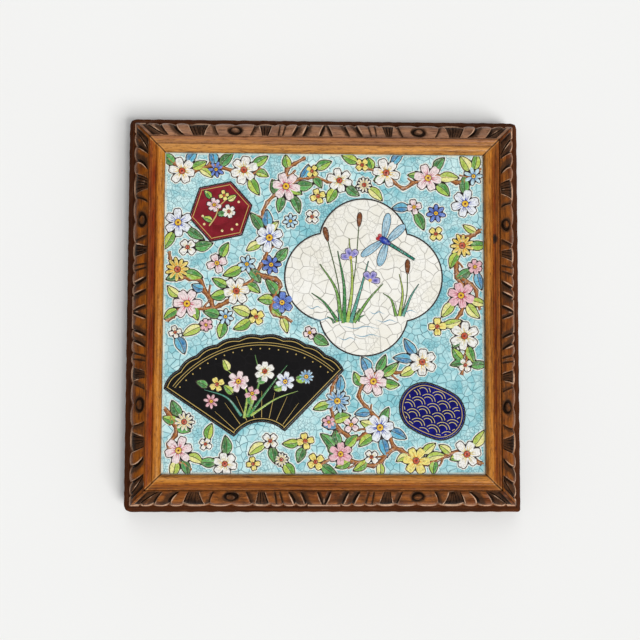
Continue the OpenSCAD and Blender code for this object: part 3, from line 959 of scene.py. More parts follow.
# A small dark knot in the cove of the right strip: along the strip, and out from the sight edge.
KNOT_AT = (-46.0, COVE_MIDDLE)


def strip_marks_and_light(across, s, from_mitre, side_name, rng):
    """Darkening, painted highlight, red cove and brown fillet at each point of a strip."""
    stain = COVE_STAIN[side_name]
    cove = bell(across, COVE_MIDDLE, np.where(across < COVE_MIDDLE, *COVE_WIDTH[side_name]))
    fillet = np.clip((across - BROWN_FROM) / 0.6, 0, 1) * stain
    # Darkening: grime and painted shade in the crease between bead and cove, and painted shadow with
    # grime along the sight edge where the strip meets the tile.
    darkening = bell(across, CREASE_LINE, 0.3) * 0.3 + np.exp(-across / 0.4) * 0.5
    # Painted highlights along the bead's crown and the outer edge.
    crown = bell(across, CROWN_AT[side_name], 1.3) * 0.5 + bell(across, OUTER_EDGE, 0.4) * 0.4
    runny = 1 - 0.45 * np.exp(-from_mitre / 12) + hand_ripple(s * 0.3, across, rng, 0.35)
    cove = cove * stain * np.clip(runny, 0, 1)
    # A painted glint also runs beside each mitre.
    painted_highlight = np.maximum(crown, 0.9 * bell(from_mitre, 0.75, 0.35))
    if side_name == "right":
        darkening += 1.1 * bell(s, KNOT_AT[0], 2.6) * bell(across, KNOT_AT[1], 0.9)
    return darkening, painted_highlight, cove, fillet


print("the coves are stained by", COVE_STAIN)

# %% Build the mouldings
STRIP_ALONG = 240
STRIP_FACES = bar_faces(STRIP_ALONG, len(strip_section))
STRIP_GAP = 0.10
strip_normal = normals_of(strip_section)

for side_name, quarter in SIDES.items():
    rng = np.random.default_rng(len(side_name) * 3 + 71)
    t = np.linspace(-1, 1, STRIP_ALONG)[:, None]
    reach = SIGHT + strip_section[:, 0][None, :]
    s = t * reach
    across = np.broadcast_to(strip_section[:, 0], s.shape)
    inward = hand_ripple(s * 0.12, across, rng, 0.07) + 0.07
    inward[:, len(face_path):] = 0
    inward[:, :3] *= 0.3
    new_reach = SIGHT + (across - strip_normal[:, 0] * inward)
    z = strip_section[:, 1] - strip_normal[:, 1] * inward
    x = t * new_reach - np.sign(t) * STRIP_GAP * np.abs(t) ** 60
    points = turned(np.stack([x, new_reach, z], 2).reshape(-1, 3), quarter)
    from_mitre = np.abs(reach - np.abs(s)) / math.sqrt(2)
    darkening, painted_highlight, cove, fillet = strip_marks_and_light(across, s, from_mitre, side_name, rng)
    values = {"hollow": darkening.ravel(), "ridge": painted_highlight.ravel(), "cove": cove.ravel(),
              "fillet": fillet.ravel(), "seam": np.exp(-from_mitre / 0.22).ravel(),
              "grain": plank_grain(s, new_reach, z, rng),
              "tone": np.full(s.size, RAIL_TONE[side_name])}
    strip = make_piece("sight_strip_" + side_name + "_skin", points, STRIP_FACES, values, 50)
    fit(strip, "moulding_wood", moulding_finish, "sight_strip_" + side_name)

# %% [markdown]
# ## The tile
#
# The tile is a slab of pale faience under a turquoise glaze. The glaze has crazed into a fine
# net of cracks, because it shrank more than the clay when the tile cooled. On it lie raised
# enamels: four reserves in cream, black, dark red and cobalt, and between them flowers, leaves
# and brown stems, each drawn with a dark printed line and filled with a drop of thick enamel.
#
# Cracks are the borders between cells, which is what Voronoi noise measures. Two nets, one
# about twice as fine as the other and fading in and out, make the lines uneven, as they are
# where some cracks have taken in more tea than others. The same group says where the glaze
# pooled: in slow clouds, in a finer mottle, and a little from one flake to the next.

# %% The crazing group
crazing_inputs = {"Vector": "Vector", "Cells": "Float", "Width": "Float", "Fine": "Float"}
tree, given, out = group("crazing", crazing_inputs, {"Lines": "Float", "Pool": "Float"})
wander = add(tree, "ShaderNodeTexNoise", {"Vector": given["Vector"], "Scale": 110.0, "Detail": 2.0})
push = add(tree, "ShaderNodeVectorMath", {0: wander.outputs["Color"], 1: (0.5, 0.5, 0.5)},
           operation="SUBTRACT")
push = add(tree, "ShaderNodeVectorMath", {0: push.outputs[0], "Scale": 0.004}, operation="SCALE")
bent = add(tree, "ShaderNodeVectorMath", {0: given["Vector"], 1: push.outputs[0]}, operation="ADD")
bent = bent.outputs[0]


def net_lines(tree, vector, cells, width):
    """How close a point is to a crack of the net, from 0 to 1."""
    edge = add(tree, "ShaderNodeTexVoronoi", {"Vector": vector, "Scale": cells},
               feature="DISTANCE_TO_EDGE", voronoi_dimensions="2D")
    return between(tree, edge.outputs["Distance"], width, 0.0)


wide_net = net_lines(tree, bent, given["Cells"], given["Width"])
fine_net = net_lines(tree, bent, sums(tree, "MULTIPLY", given["Cells"], 2.1), given["Width"])
patches = noise(tree, given["Vector"], 60.0, 3.0)
wide_net = sums(tree, "MULTIPLY", wide_net, between(tree, patches, 0.3, 0.6, 1.0, 0.45))
fine_net = sums(tree, "MULTIPLY", fine_net, between(tree, patches, 0.42, 0.6))
fine_net = sums(tree, "MULTIPLY", fine_net, given["Fine"])
tree.links.new(sums(tree, "MAXIMUM", wide_net, fine_net), out["Lines"])

cloud = noise(tree, given["Vector"], 24.0, 4.0, 0.6)
mottle = noise(tree, bent, 170.0, 4.0, 0.65)
flakes = add(tree, "ShaderNodeTexVoronoi", {"Vector": bent, "Scale": given["Cells"]},
             voronoi_dimensions="2D")
flake = add(tree, "ShaderNodeSeparateColor", {"Color": flakes.outputs["Color"]}).outputs["Red"]
pooled = sums(tree, "MULTIPLY_ADD", mottle, 0.5, sums(tree, "MULTIPLY", cloud, 0.7))
tree.links.new(sums(tree, "MULTIPLY_ADD", flake, 0.10, pooled), out["Pool"])
print("crazing group has", len(tree.nodes), "nodes")

# %% [markdown]
# ## The glazes
#
# Each reserve and the ground is one glaze, so one function makes them all: two shades of its
# colour, where the glaze pooled thick or thin, and the crazing in a third. The small enamels
# share one more finish that reads each drop's colour from the mesh and lays it on as a brush
# does, thick here and milky there. The printed lines under them are duller.

# %% Glazes
def glaze(name, light, dark, crack, cells, fine, show, width=0.07):
    """A crazed glaze: two shades, its cracks' colour, its cells a metre, and how much shows."""
    material, tree, shader = finish_tree(name, Roughness=0.12, Specular_IOR_Level=0.28)
    where = object_at(tree)
    net = place(tree, "crazing", {"Vector": where, "Cells": cells, "Width": width, "Fine": fine})
    base = blended(tree, between(tree, net["Pool"], 0.46, 0.84), light, dark)
    cracked = blended(tree, sums(tree, "MULTIPLY", net["Lines"], show), base, crack)
    tree.links.new(cracked, shader["Base Color"])
    height = sums(tree, "MULTIPLY_ADD", net["Lines"], -0.35, noise(tree, where, 140.0, 2.0))
    tree.links.new(bump(tree, height, 0.25, 0.0002), shader["Normal"])
    return material


CREAM = glaze("cream enamel", linear(249, 247, 240), linear(239, 235, 222),
              linear(124, 120, 112), 150.0, 0.7, 0.9, 0.06)
BLACK = glaze("black enamel", linear(14, 11, 12), linear(6, 5, 6),
              linear(40, 38, 40), 150.0, 0.3, 0.25)
RED = glaze("dark red enamel", linear(142, 30, 44), linear(100, 10, 20),
            linear(150, 60, 72), 200.0, 0.3, 0.15)
COBALT = glaze("cobalt enamel", linear(12, 14, 128), linear(3, 2, 80),
               linear(40, 44, 148), 200.0, 0.3, 0.12)
print("four enamels mixed for the reserves")

# %% The turquoise ground
# The ground is the same glaze. It drew back from the tile's edge, where the pale body shows.
TURQUOISE = glaze("turquoise glaze", linear(212, 243, 242), linear(131, 198, 207),
                  linear(44, 92, 106), 240.0, 0.95, 0.95, 0.1)
tree = TURQUOISE.node_tree
shader = tree.nodes["Principled BSDF"].inputs
clean = shader["Base Color"].links[0].from_socket
patchy = between(tree, noise(tree, object_at(tree), 90.0, 3.0), 0.4, 0.62, 0.3, 1.0)
pale = sums(tree, "MULTIPLY", stored(tree, "bare"), patchy)
tree.links.new(blended(tree, pale, clean, linear(240, 238, 218)), shader["Base Color"])
print(TURQUOISE.name, "has", len(tree.nodes), "nodes")

# %% Painted enamel
enamel_finish, tree, shader = finish_tree("painted enamel", Roughness=0.14, Specular_IOR_Level=0.35)
where = object_at(tree)
net = place(tree, "crazing", {"Vector": where, "Cells": 300.0, "Width": 0.07, "Fine": 0.4})
thick = between(tree, noise(tree, where, 750.0, 4.0, 0.65), 0.46, 0.66, 0.0, 0.7)
painted = blended(tree, thick, stored(tree, "tint", "Color"), linear(176, 178, 172), "MULTIPLY")
milky = noise(tree, stretched(tree, where, 1, 1.3, 1), 520.0, 5.0, 0.7)
milky = between(tree, milky, 0.5, 0.7, 0.0, 0.38)
painted = blended(tree, milky, painted, linear(246, 246, 236))
cracks = sums(tree, "MULTIPLY", net["Lines"], 0.4)
cracked = blended(tree, cracks, painted, linear(130, 130, 120), "MULTIPLY")
tree.links.new(cracked, shader["Base Color"])
tree.links.new(bump(tree, noise(tree, where, 420.0, 3.0), 0.2, 0.00015), shader["Normal"])
print(enamel_finish.name, "has", len(tree.nodes), "nodes")

# %% Printed ink
ink_finish, tree, shader = finish_tree("printed ink", Specular_IOR_Level=0.25)
where = object_at(tree)
thin = between(tree, noise(tree, where, 800.0, 4.0, 0.6), 0.5, 0.75, 0.0, 0.35)
thinned = blended(tree, thin, stored(tree, "tint", "Color"), linear(128, 118, 108))
tree.links.new(thinned, shader["Base Color"])
tree.links.new(between(tree, thin, 0.0, 0.35, 0.4, 0.55), shader["Roughness"])
tree.links.new(bump(tree, noise(tree, where, 900.0, 3.0), 0.2, 0.0001), shader["Normal"])
print(ink_finish.name, "has", len(tree.nodes), "nodes")

# %% [markdown]
# ## Drops and lines of enamel
#
# A drop of enamel is a small pad with a round rim and a nearly flat top, a few tenths of a
# millimetre high. The helper shrinks an outline towards its middle in steps and lifts it along
# a rounded profile, and closes it underneath, a little inside the glaze. The line helper
# sweeps a low arch along a path. Both stop at the frame. All shapes of one enamel go into one
# mesh, and their colours ride along on the points.

# %% Areas and faces of rings
EDGE = SIGHT - 0.15


def ring_area(outline):
    """Area inside a closed outline."""
    x, y = outline.T
    return 0.5 * abs(float(np.dot(x, np.roll(y, -1)) - np.dot(y, np.roll(x, -1))))


def domed_faces(count, n):
    """Faces of a stack of rings of n points, closed below, and above by one point, its tip."""
    tip = count * n
    faces = [tuple(reversed(range(n)))]
    for a in range(0, tip - n, n):
        b = a + n
        faces += [(a + j, a + (j + 1) % n, b + (j + 1) % n, b + j) for j in range(n)]
    faces += [(tip - n + j, tip - n + (j + 1) % n, tip) for j in range(n)]
    return faces


print("enamel may reach", round(EDGE, 2), "mm from the middle")


# %% Stores of enamel
class Enamel:
    """Gathers many small raised shapes into one mesh, with a colour for each point."""

    def __init__(self):
        self.points, self.faces, self.tints = [], [], []

    def take(self, points, faces, tints):
        """Adds a shape."""
        start = len(self.points)
        self.points += np.asarray(points, float).tolist()
        self.faces += [tuple(start + i for i in face) for face in faces]
        self.tints += np.asarray(tints, float).tolist()


printed, petals, leaves, stems, fringes, rims = [Enamel() for _ in range(6)]
print("six enamels are ready to be filled")

# %% Lay a drop
# How far in from the rim, as a share, and how high, for each ring of a drop.
DROP_PROFILE = ((0, 0), (0.22, 0.55), (0.6, 0.88), (1, 1))
# How far a drop is closed inside the glaze.
DROP_SINK = 0.12


def drop(store, outline, middle, base, height, tint, rim=None, edge=0.3):
    """A pad with a rounded rim, in one tint or in two: at the middle and at the rim."""
    whole = np.asarray(outline, float)
    outline = np.clip(whole, -EDGE, EDGE)
    if ring_area(outline) < 0.3 * ring_area(whole):
        return
    middle = np.asarray(middle, float)
    if np.abs(middle).max() > EDGE - 0.5:
        middle = outline.mean(0)
    rim = rim or tint
    size = np.linalg.norm(outline - middle, axis=1).mean()
    edge = min(edge, 0.45 * size)
    scales = [1 - edge * a / size for a, _ in DROP_PROFILE] + [0.45 * (1 - edge / size)]
    lifts = [lift for _, lift in DROP_PROFILE] + [1]
    n = len(outline)
    rings = [np.column_stack([outline, np.full(n, base - DROP_SINK)])]
    colours = [list(rim)] * n
    for scale, lift in zip(scales, lifts):
        ring = middle + (outline - middle) * scale
        rings.append(np.column_stack([ring, np.full(n, base + height * lift)]))
        mix = min(1, max(0, (scale - 0.15) / 0.75))
        colours += [[i + (o - i) * mix for i, o in zip(tint, rim)]] * n
    points = np.vstack(rings + [[[middle[0], middle[1], base + height * 1.02]]])
    store.take(points, domed_faces(len(rings), n), colours + [list(tint)])


print("a drop has", len(DROP_PROFILE) + 2, "rings")

# %% Lay a line
# Across, down and up, for each point round a line, and how far it is closed inside the glaze.
ARCH = ((-1, 1, 0), (-1, 0, 0), (-0.6, 0, 0.85), (0, 0, 1), (0.6, 0, 0.85), (1, 0, 0), (1, 1, 0))
LINE_SINK = 0.1


def line(store, path, width, base, height, tint, closed=False, taper=0.0, both=False, knobs=1.0):
    """A raised line. taper thins its end, both thins both ends, knobs scale each point."""
    path = np.asarray(path, float)
    kept = np.abs(path).max(1) <= EDGE - width / 2
    knobs = np.broadcast_to(knobs, len(path))[kept]
    path = path[kept]
    n = len(path)
    if n < 2:
        return
    ahead = np.roll(path, -1, 0) - np.roll(path, 1, 0) if closed else np.gradient(path, axis=0)
    ahead /= np.maximum(np.linalg.norm(ahead, axis=1), 1e-9)[:, None]
    side = np.column_stack([-ahead[:, 1], ahead[:, 0]])
    t = np.linspace(0, 1, n)
    full = (np.clip(np.sin(math.pi * t), 0.12, 1) if both else 1 - taper * t) * knobs
    points = []
    for at, across_line, share in zip(path, side, full):
        for across, down, up in ARCH:
            x, y = at + across_line * width / 2 * share * across
            points.append((x, y, base - LINE_SINK * down + height * up * (0.4 + 0.6 * share)))
    ring = len(ARCH)
    faces = []
    for i in range(n if closed else n - 1):
        a, b = i * ring, ((i + 1) % n) * ring
        faces += [(a + j, a + (j + 1) % ring, b + (j + 1) % ring, b + j) for j in range(ring)]
    if not closed:
        faces.append(tuple(reversed(range(ring))))
        faces.append(tuple((n - 1) * ring + j for j in range(ring)))
    store.take(points, faces, [list(tint)] * len(points))


print("a line has", len(ARCH), "points round it")


# %% Turn and grow outlines
def once_round(count):
    """Angles once round, evenly spaced."""
    return np.linspace(0, 2 * math.pi, count, endpoint=False)


def circle(count):
    """Points of a circle with a radius of one."""
    a = once_round(count)
    return np.column_stack([np.cos(a), np.sin(a)])


def placed(outline, at, degrees):
    """An outline turned to the left and moved to its place."""
    a = math.radians(degrees)
    turn = np.array([[math.cos(a), math.sin(a)], [-math.sin(a), math.cos(a)]])
    return np.asarray(outline, float) @ turn + np.asarray(at, float)


def grown(outline, margin):
    """A closed outline moved outward by a margin."""
    ahead = np.roll(outline, -1, 0) - np.roll(outline, 1, 0)
    normal = np.column_stack([ahead[:, 1], -ahead[:, 0]])
    normal /= np.maximum(np.linalg.norm(normal, axis=1), 1e-9)[:, None]
    return outline + normal * margin


print("a circle of radius 1, grown by 1, reaches", round(float(grown(circle(64), 1).max()), 2))


# %% Smooth paths and their headings
def heading_of(ahead):
    """The way a step points, in degrees to the left of +Y."""
    return math.degrees(math.atan2(-ahead[0], ahead[1]))


def smooth_path(knots, step=1.0):
    """A smooth curve through a few knots, evenly spaced."""
    knots = np.asarray(knots, float)
    padded = np.vstack([2 * knots[0] - knots[1], knots, 2 * knots[-1] - knots[-2]])
    curve = []
    for a, b, c, d in zip(padded, padded[1:], padded[2:], padded[3:]):
        for t in np.linspace(0, 1, 16, endpoint=False):
            curve.append(0.5 * (2 * b + (c - a) * t + (2 * a - 5 * b + 4 * c - d) * t * t
                                + (3 * b - a - 3 * c + d) * t ** 3))
    curve = np.array(curve + [knots[-1]])
    length = np.concatenate([[0], np.cumsum(np.linalg.norm(np.diff(curve, axis=0), axis=1))])
    even = np.linspace(0, length[-1], max(3, int(length[-1] / step) + 1))
    return np.column_stack([np.interp(even, length, curve[:, k]) for k in (0, 1)])


print("a step to the right heads", heading_of((1, 0)))

# %% [markdown]
# ## The slab and its four reserves
#
# The slab is a stack of square rings with a rounded top edge. The outer rings are marked as
# bare, so the glaze is thin and pale along the frame. The reserves are large drops: a cream
# quatrefoil, a black open fan, a dark red hexagon and a cobalt oval, each in a dark line, and
# all but the cream one with a gold line inside it.

# %% Shape the slab
HALF = TILE_HIGH[0]
SLAB_ROUND = 0.8
SIDE_POINTS = 50


def square_ring(half, z):
    """Points round a square."""
    t = np.linspace(-half, half, SIDE_POINTS, endpoint=False)
    wall = np.full_like(t, half)
    x = np.concatenate([t, wall, -t, -wall])
    y = np.concatenate([-wall, t, wall, -t])
    return np.column_stack([x, y, np.full(len(x), z)])


rings = [square_ring(HALF - 0.3, TILE_Z), square_ring(HALF, TILE_Z + 0.3)]
for a in np.linspace(0, math.pi / 2, 5):
    in_by, down_by = SLAB_ROUND * (1 - math.cos(a)), SLAB_ROUND * (1 - math.sin(a))
    rings.append(square_ring(HALF - in_by, FACE_Z - down_by))
pale_end = (len(rings) + 1) * 4 * SIDE_POINTS
rings += [square_ring(half, FACE_Z) for half in (SIGHT, SIGHT - 0.5, SIGHT - 1.4, 85, 60, 35, 15)]
slab_points = np.vstack(rings + [[[0, 0, FACE_Z]]])
bare = np.zeros(len(slab_points))
bare[:pale_end] = 0.95
bare[pale_end:pale_end + 4 * SIDE_POINTS] = 0.8
slab_faces = domed_faces(len(rings), 4 * SIDE_POINTS)
slab = make_piece("tile_slab", slab_points, slab_faces, {"bare": bare}, 50)
fit(slab, "tile_glaze", TURQUOISE, "tile")

# %% Where the reserves lie
QUATREFOIL_AT, QUATREFOIL_REACH, LOBE_R = (24, 22), 48, 27
FAN_AT, FAN_TURN, FAN_OUTER, FAN_INNER, FAN_HALF = (-38, -86), 6, 72, 20, 50
FAN_SCALLOPS, SCALLOP_DIP = 9, 1.2
HEXAGON_AT, HEXAGON_TURN, HEXAGON_R = (-64, 62), 12, 19
OVAL_AT, OVAL_TURN, OVAL_HALF, OVAL_R = (66, -60), -24, 20, 15
print("the fan spreads over", 2 * FAN_HALF, "degrees")


# %% Outlines of the reserves
def quatrefoil_outline(reach, lobe):
    """Four round lobes: in each direction, the furthest point of any lobe's circle."""
    turn = np.remainder(once_round(144) + math.pi / 4, math.pi / 2) - math.pi / 4
    shift = reach - lobe
    furthest = shift * np.cos(turn) + np.sqrt(lobe ** 2 - (shift * np.sin(turn)) ** 2)
    return circle(144) * furthest[:, None]


def fan_outline(outer, inner, half_angle):
    """An open fan: a scalloped outer edge, straight guards and a round inner edge."""
    h = math.radians(half_angle)
    a = np.linspace(-h, h, 91)
    wave = np.abs(np.sin((a + h) / (2 * h) * FAN_SCALLOPS * math.pi))
    wave = outer - SCALLOP_DIP * (1 - wave)
    outer_edge = np.column_stack([np.sin(a) * wave, np.cos(a) * wave])
    b = np.linspace(h, -h, 25)
    inner_edge = np.column_stack([np.sin(b) * inner, np.cos(b) * inner])
    right_guard = np.linspace(outer_edge[-1], inner_edge[0], 16)[1:-1]
    left_guard = np.linspace(inner_edge[-1], outer_edge[0], 16)[1:-1]
    return np.vstack([outer_edge, right_guard, inner_edge, left_guard])[::-1]


def hexagon_outline(radius):
    """Six straight sides."""
    turns = [k * math.pi / 3 for k in range(7)]
    knots = [(radius * math.cos(a), radius * math.sin(a)) for a in turns]
    return np.vstack([np.linspace(a, b, 10, endpoint=False) for a, b in zip(knots, knots[1:])])


def oval_outline(half_length, radius):
    """A short bar with round ends."""
    shift = (half_length - radius) * np.clip(3 * np.cos(once_round(64)), -1, 1)
    outline = circle(64) * radius
    outline[:, 0] += shift
    return outline


print("the oval is", 2 * OVAL_HALF, "by", 2 * OVAL_R, "mm")

# %% Lay the reserves
INK = linear(44, 32, 30)
WHITE = linear(246, 244, 238)
GOLD = linear(200, 172, 96)
PAD = 0.15
quatrefoil = placed(quatrefoil_outline(QUATREFOIL_REACH, LOBE_R), QUATREFOIL_AT, 0)
fan = placed(fan_outline(FAN_OUTER, FAN_INNER, FAN_HALF), FAN_AT, FAN_TURN)
fan_middle = placed([(0, 0.62 * FAN_OUTER)], FAN_AT, FAN_TURN)[0]
hexagon = placed(hexagon_outline(HEXAGON_R), HEXAGON_AT, HEXAGON_TURN)
oval = placed(oval_outline(OVAL_HALF, OVAL_R), OVAL_AT, OVAL_TURN)
reserves = {"cream": (quatrefoil, QUATREFOIL_AT, CREAM), "black": (fan, fan_middle, BLACK),
            "red": (hexagon, HEXAGON_AT, RED), "cobalt": (oval, OVAL_AT, COBALT)}
for key, (outline, middle, finish) in reserves.items():
    pad = Enamel()
    drop(pad, outline, middle, FACE_Z, PAD, WHITE, edge=0.5)
    piece = make_piece("reserve_" + key, pad.points, pad.faces)
    fit(piece, "tile_glaze", finish, "tile")
    line(rims, grown(outline, 0.5), 0.95, FACE_Z, 0.16, INK, closed=True)
    if key != "cream":
        line(rims, grown(outline, -1.3), 0.45, FACE_Z + PAD, 0.06, GOLD, closed=True)

# %% [markdown]
# ## Flowers, leaves and blades
#
# The flowers are plain garden ones, of no special kind: six-petalled rosettes, small daisies,
# four-petalled blooms and stars. Each petal is a white or tinted drop with a few brush strokes
# from its foot, on a printed ink shape that shows as a dark line round it. A leaf is two drops,
# one for each side of the midrib. A blade is a long leaf drawn along a curve. The turquoise was
# laid last, round the motifs, and stops just short of them: a thin pale fringe shows there.

# %% Petals and leaves
def petal_outline(length, width, notch=0.0):
    """A petal with its foot at the origin and its tip along +Y."""
    a = once_round(22)
    along = 0.5 - 0.5 * np.cos(a)
    x = width / 2 * np.sin(a) * (0.62 + 0.45 * along)
    return np.column_stack([x, length * along - notch * bell(a, math.pi, 0.4)])


def leaf_halves(length, width, bend):
    """The two sides of a leaf, split at its midrib, and its whole outline."""
    t = np.linspace(0, 1, 15)
    spine = np.column_stack([bend * np.sin(math.pi * t), length * t])
    swell = width / 2 * np.sin(math.pi * t ** 0.85) ** 0.85 * (1.1 - 0.3 * t)
    sideways = np.column_stack([swell, np.zeros_like(t)])
    right, left = spine + sideways, spine - sideways
    rib = 0.16
    right_half = np.vstack([spine[1:-1] + [rib, 0], right[-2:0:-1]])
    left_half = np.vstack([spine[1:-1] - [rib, 0], left[-2:0:-1]])[::-1]
    whole = np.vstack([right, left[-2:0:-1]])
    return right_half[::-1], left_half[::-1], whole


print("a petal has", len(petal_outline(1, 1)), "points")

# %% The painter's colours
# Each flower's deep tint and its pale one, and each leaf's two sides.
PETAL_TINTS = {"pink": (linear(206, 84, 112), linear(246, 226, 226)),
               "rose": (linear(190, 56, 92), linear(240, 190, 198)),
               "yellow": (linear(240, 196, 40), WHITE),
               "butter": (linear(228, 160, 30), linear(246, 230, 130)),
               "blue": (linear(36, 56, 176), linear(238, 242, 248)),
               "deep": (linear(24, 34, 140), linear(110, 140, 214)),
               "white": (linear(226, 200, 90), WHITE),
               "sky": (linear(30, 110, 180), linear(196, 228, 240))}
GREENS = [(linear(80, 168, 88), linear(24, 120, 64)), (linear(186, 208, 78), linear(96, 162, 56)),
          (linear(242, 236, 156), linear(180, 202, 84)), (linear(84, 178, 220), linear(36, 128, 190)),
          (linear(54, 148, 84), linear(18, 102, 58)), (linear(160, 200, 74), linear(54, 144, 62))]
REED_GREENS = [linear(120, 172, 80), linear(70, 142, 78), linear(176, 200, 92),
               linear(96, 168, 150)]
LEAF_RIM = linear(226, 236, 150)
BODY = linear(244, 246, 236)
print(len(PETAL_TINTS), "flower tints and", len(GREENS), "pairs of greens")

# %% Ink and fringes
INK_LINE = 0.5
FINE_INK = 0.35
FRINGE = 0.6


def fringe(outline, level):
    """The pale body, left bare round a motif on the ground. A motif on a reserve has none."""
    if level < PAD:
        drop(fringes, grown(outline, INK_LINE + FRINGE), outline.mean(0), FACE_Z, 0.012, BODY, edge=0.1)


def inked(outline, level, height, deep, pale):
    """A petal of enamel on its printed shape."""
    middle = outline.mean(0)
    drop(printed, grown(outline, FINE_INK), middle, FACE_Z + level, 0.03, INK, edge=0.1)
    drop(petals, outline, middle, FACE_Z + level + 0.02, height, deep, pale, 0.5)


def dot(store, at, radius, tint, level):
    """A round drop."""
    drop(store, circle(12) * radius + at, at, FACE_Z + level, 0.08, tint, edge=0.3)


print("an ink line shows", INK_LINE, "mm wide round a petal")

# %% Draw a flower
# Petals, length and width as a share of the size, and depth of the notch in the tip.
KINDS = {"rosette": (6, 0.98, 0.66, 0.10), "daisy": (11, 1.0, 0.34, 0.0),
         "cove_sheen": (4, 0.95, 0.82, 0.12), "star": (7, 1.0, 0.46, 0.0)}


def flower(at, kind, tint, size, turn, rng, level):
    """One flower: ink, petals, brush strokes and its eye. A daisy's petals have no strokes."""
    number, long, wide, notch = KINDS[kind]
    plain = kind == "daisy"
    base = FACE_Z + level
    deep, pale = PETAL_TINTS[tint]
    for k in range(number):
        angle = turn + 360 * k / number + rng.uniform(-4, 4)
        length = size * long * rng.uniform(0.92, 1.06)
        shape = petal_outline(length, size * wide * rng.uniform(0.92, 1.08), size * notch)
        outline = placed(shape, placed([(0, size * 0.1)], at, angle)[0], angle)
        middle = outline.mean(0)
        fringe(outline, level)
        drop(printed, grown(outline, INK_LINE), middle, base, 0.02 + 0.003 * (k % 3), INK, edge=0.1)
        foot = placed([(0, size * 0.3)], at, angle)[0]
        centre = middle * 0.45 + foot * 0.55
        drop(petals, outline, centre, base + 0.02, 0.15, deep if plain else pale, pale, edge=0.55)
        for spread in () if plain else (-14, 0, 14):
            lean = angle + spread + rng.uniform(-4, 4)
            reach = size * rng.uniform(0.5, 0.78)
            stroke = [(0, size * 0.2), (0, (size * 0.2 + reach) / 2), (0, reach)]
            line(petals, placed(stroke, at, lean), 0.09 * size, base + 0.15, 0.05, deep, taper=0.8)
    eye = size * (0.3 if plain else 0.24)
    heart = linear(196, 84, 50) if tint in ("yellow", "butter", "white") else linear(240, 190, 50)
    drop(printed, circle(16) * (eye + 0.25) + at, at, base + 0.16, 0.05, INK, edge=0.1)
    drop(petals, circle(16) * eye + at, at, base + 0.17, 0.08, heart, edge=0.5)
    drop(printed, circle(16) * eye * 0.35 + at, at, base + 0.24, 0.03, linear(110, 40, 40), edge=0.1)


print("kinds of flowers:", ", ".join(KINDS))


# %% Draw leaves and blades
def leaf(at, degrees, length, width, greens, bend, level):
    """One leaf, its foot at a point."""
    right, left, whole = leaf_halves(length, width, bend)
    whole = placed(whole, at, degrees)
    base = FACE_Z + level
    middle = placed([(bend * 0.9, length * 0.48)], at, degrees)[0]
    fringe(whole, level)
    drop(printed, grown(whole, INK_LINE), middle, base, 0.02, INK, edge=0.1)
    for half, tint, side in ((right, greens[0], 1), (left, greens[1], -1)):
        centre = placed([(bend * 0.9 + side * width * 0.2, length * 0.46)], at, degrees)[0]
        rim = [0.8 * a + 0.2 * b for a, b in zip(tint, LEAF_RIM)]
        drop(leaves, placed(half, at, degrees), centre, base + 0.02, 0.11, tint, rim, edge=0.4)


def blade(knots, width, tint, level, ink=INK):
    """A long leaf or a stalk, from its foot to its tip."""
    path = smooth_path(knots, 0.8)
    line(printed, path, width + 2 * FINE_INK, FACE_Z + level, 0.03, ink, taper=0.75)
    line(leaves, path, width, FACE_Z + level, 0.11, tint, taper=0.9)


print("flower and leaf shapes ready")

# %% [markdown]
# ## Planting the ground
#
# Brown stems wander between the reserves. Flowers are set first, at listed places, and
# then, between them, at seeded random places where there is room. Leaves stand in twos and
# threes round the flowers and along the stems. A point is inside a reserve when a line from it
# crosses the outline an odd number of times.

# %% Test for free ground
taken = []


def inside(point, outline):
    """Whether a point lies inside a closed outline."""
    x, y = point
    a, b = outline, np.roll(outline, -1, 0)
    crosses = (a[:, 1] > y) != (b[:, 1] > y)
    rise = np.where(crosses, b[:, 1] - a[:, 1], 1.0)
    at = a[:, 0] + (y - a[:, 1]) * (b[:, 0] - a[:, 0]) / rise
    return bool(np.count_nonzero(crosses & (x < at)) % 2)


def off_reserves(point, gap):
    """Whether a point keeps a gap from every reserve."""
    for outline, _, _ in reserves.values():
        if inside(point, outline) or np.linalg.norm(outline - point, axis=1).min() < gap:
            return False
    return True


def free(point, radius, closeness):
    """Whether a round motif fits at a point."""
    if not off_reserves(point, radius + 0.4):
        return False
    return all(math.dist(point, spot[:2]) > (radius + spot[2]) * closeness for spot in taken)


print("the middle is off the reserves:", off_reserves((0, 0), 0))

# %% Where the stems run
STEMS = [
    [(-97, -6), (-84, 4), (-68, 2), (-52, 14), (-42, 24), (-33, 44), (-38, 60), (-26, 76), (-8, 84),
     (10, 78)],
    [(97, 90), (82, 82), (66, 87), (50, 78), (36, 86), (20, 93)],
    [(97, 52), (86, 44), (81, 26), (87, 8), (80, -8), (88, -24), (84, -38)],
    [(97, -92), (80, -86), (62, -92), (44, -82), (34, -66), (22, -52), (30, -38), (48, -36), (60, -30)],
    [(-97, 94), (-84, 87), (-68, 91), (-50, 84), (-40, 90)],
    [(-68, 2), (-76, 18), (-90, 24), (-96, 38)],
    [(34, -66), (20, -76), (8, -68), (4, -50), (8, -38)],
    [(81, 26), (92, 16), (96, 2)],
    [(-26, 76), (-22, 88), (-12, 96)],
    [(44, -82), (28, -93), (12, -88), (-4, -94)],
    [(-97, -58), (-90, -70), (-94, -84), (-80, -96)],
    [(-42, 24), (-28, 18), (-32, 2), (-20, -6)]]
BARK, BARK_LIGHT, BARK_DARK = linear(152, 90, 46), linear(190, 128, 72), linear(82, 46, 28)
print(len(STEMS), "stems laid out")

# %% Draw a twig
JOINT_EVERY = 6
rng = np.random.default_rng(29)


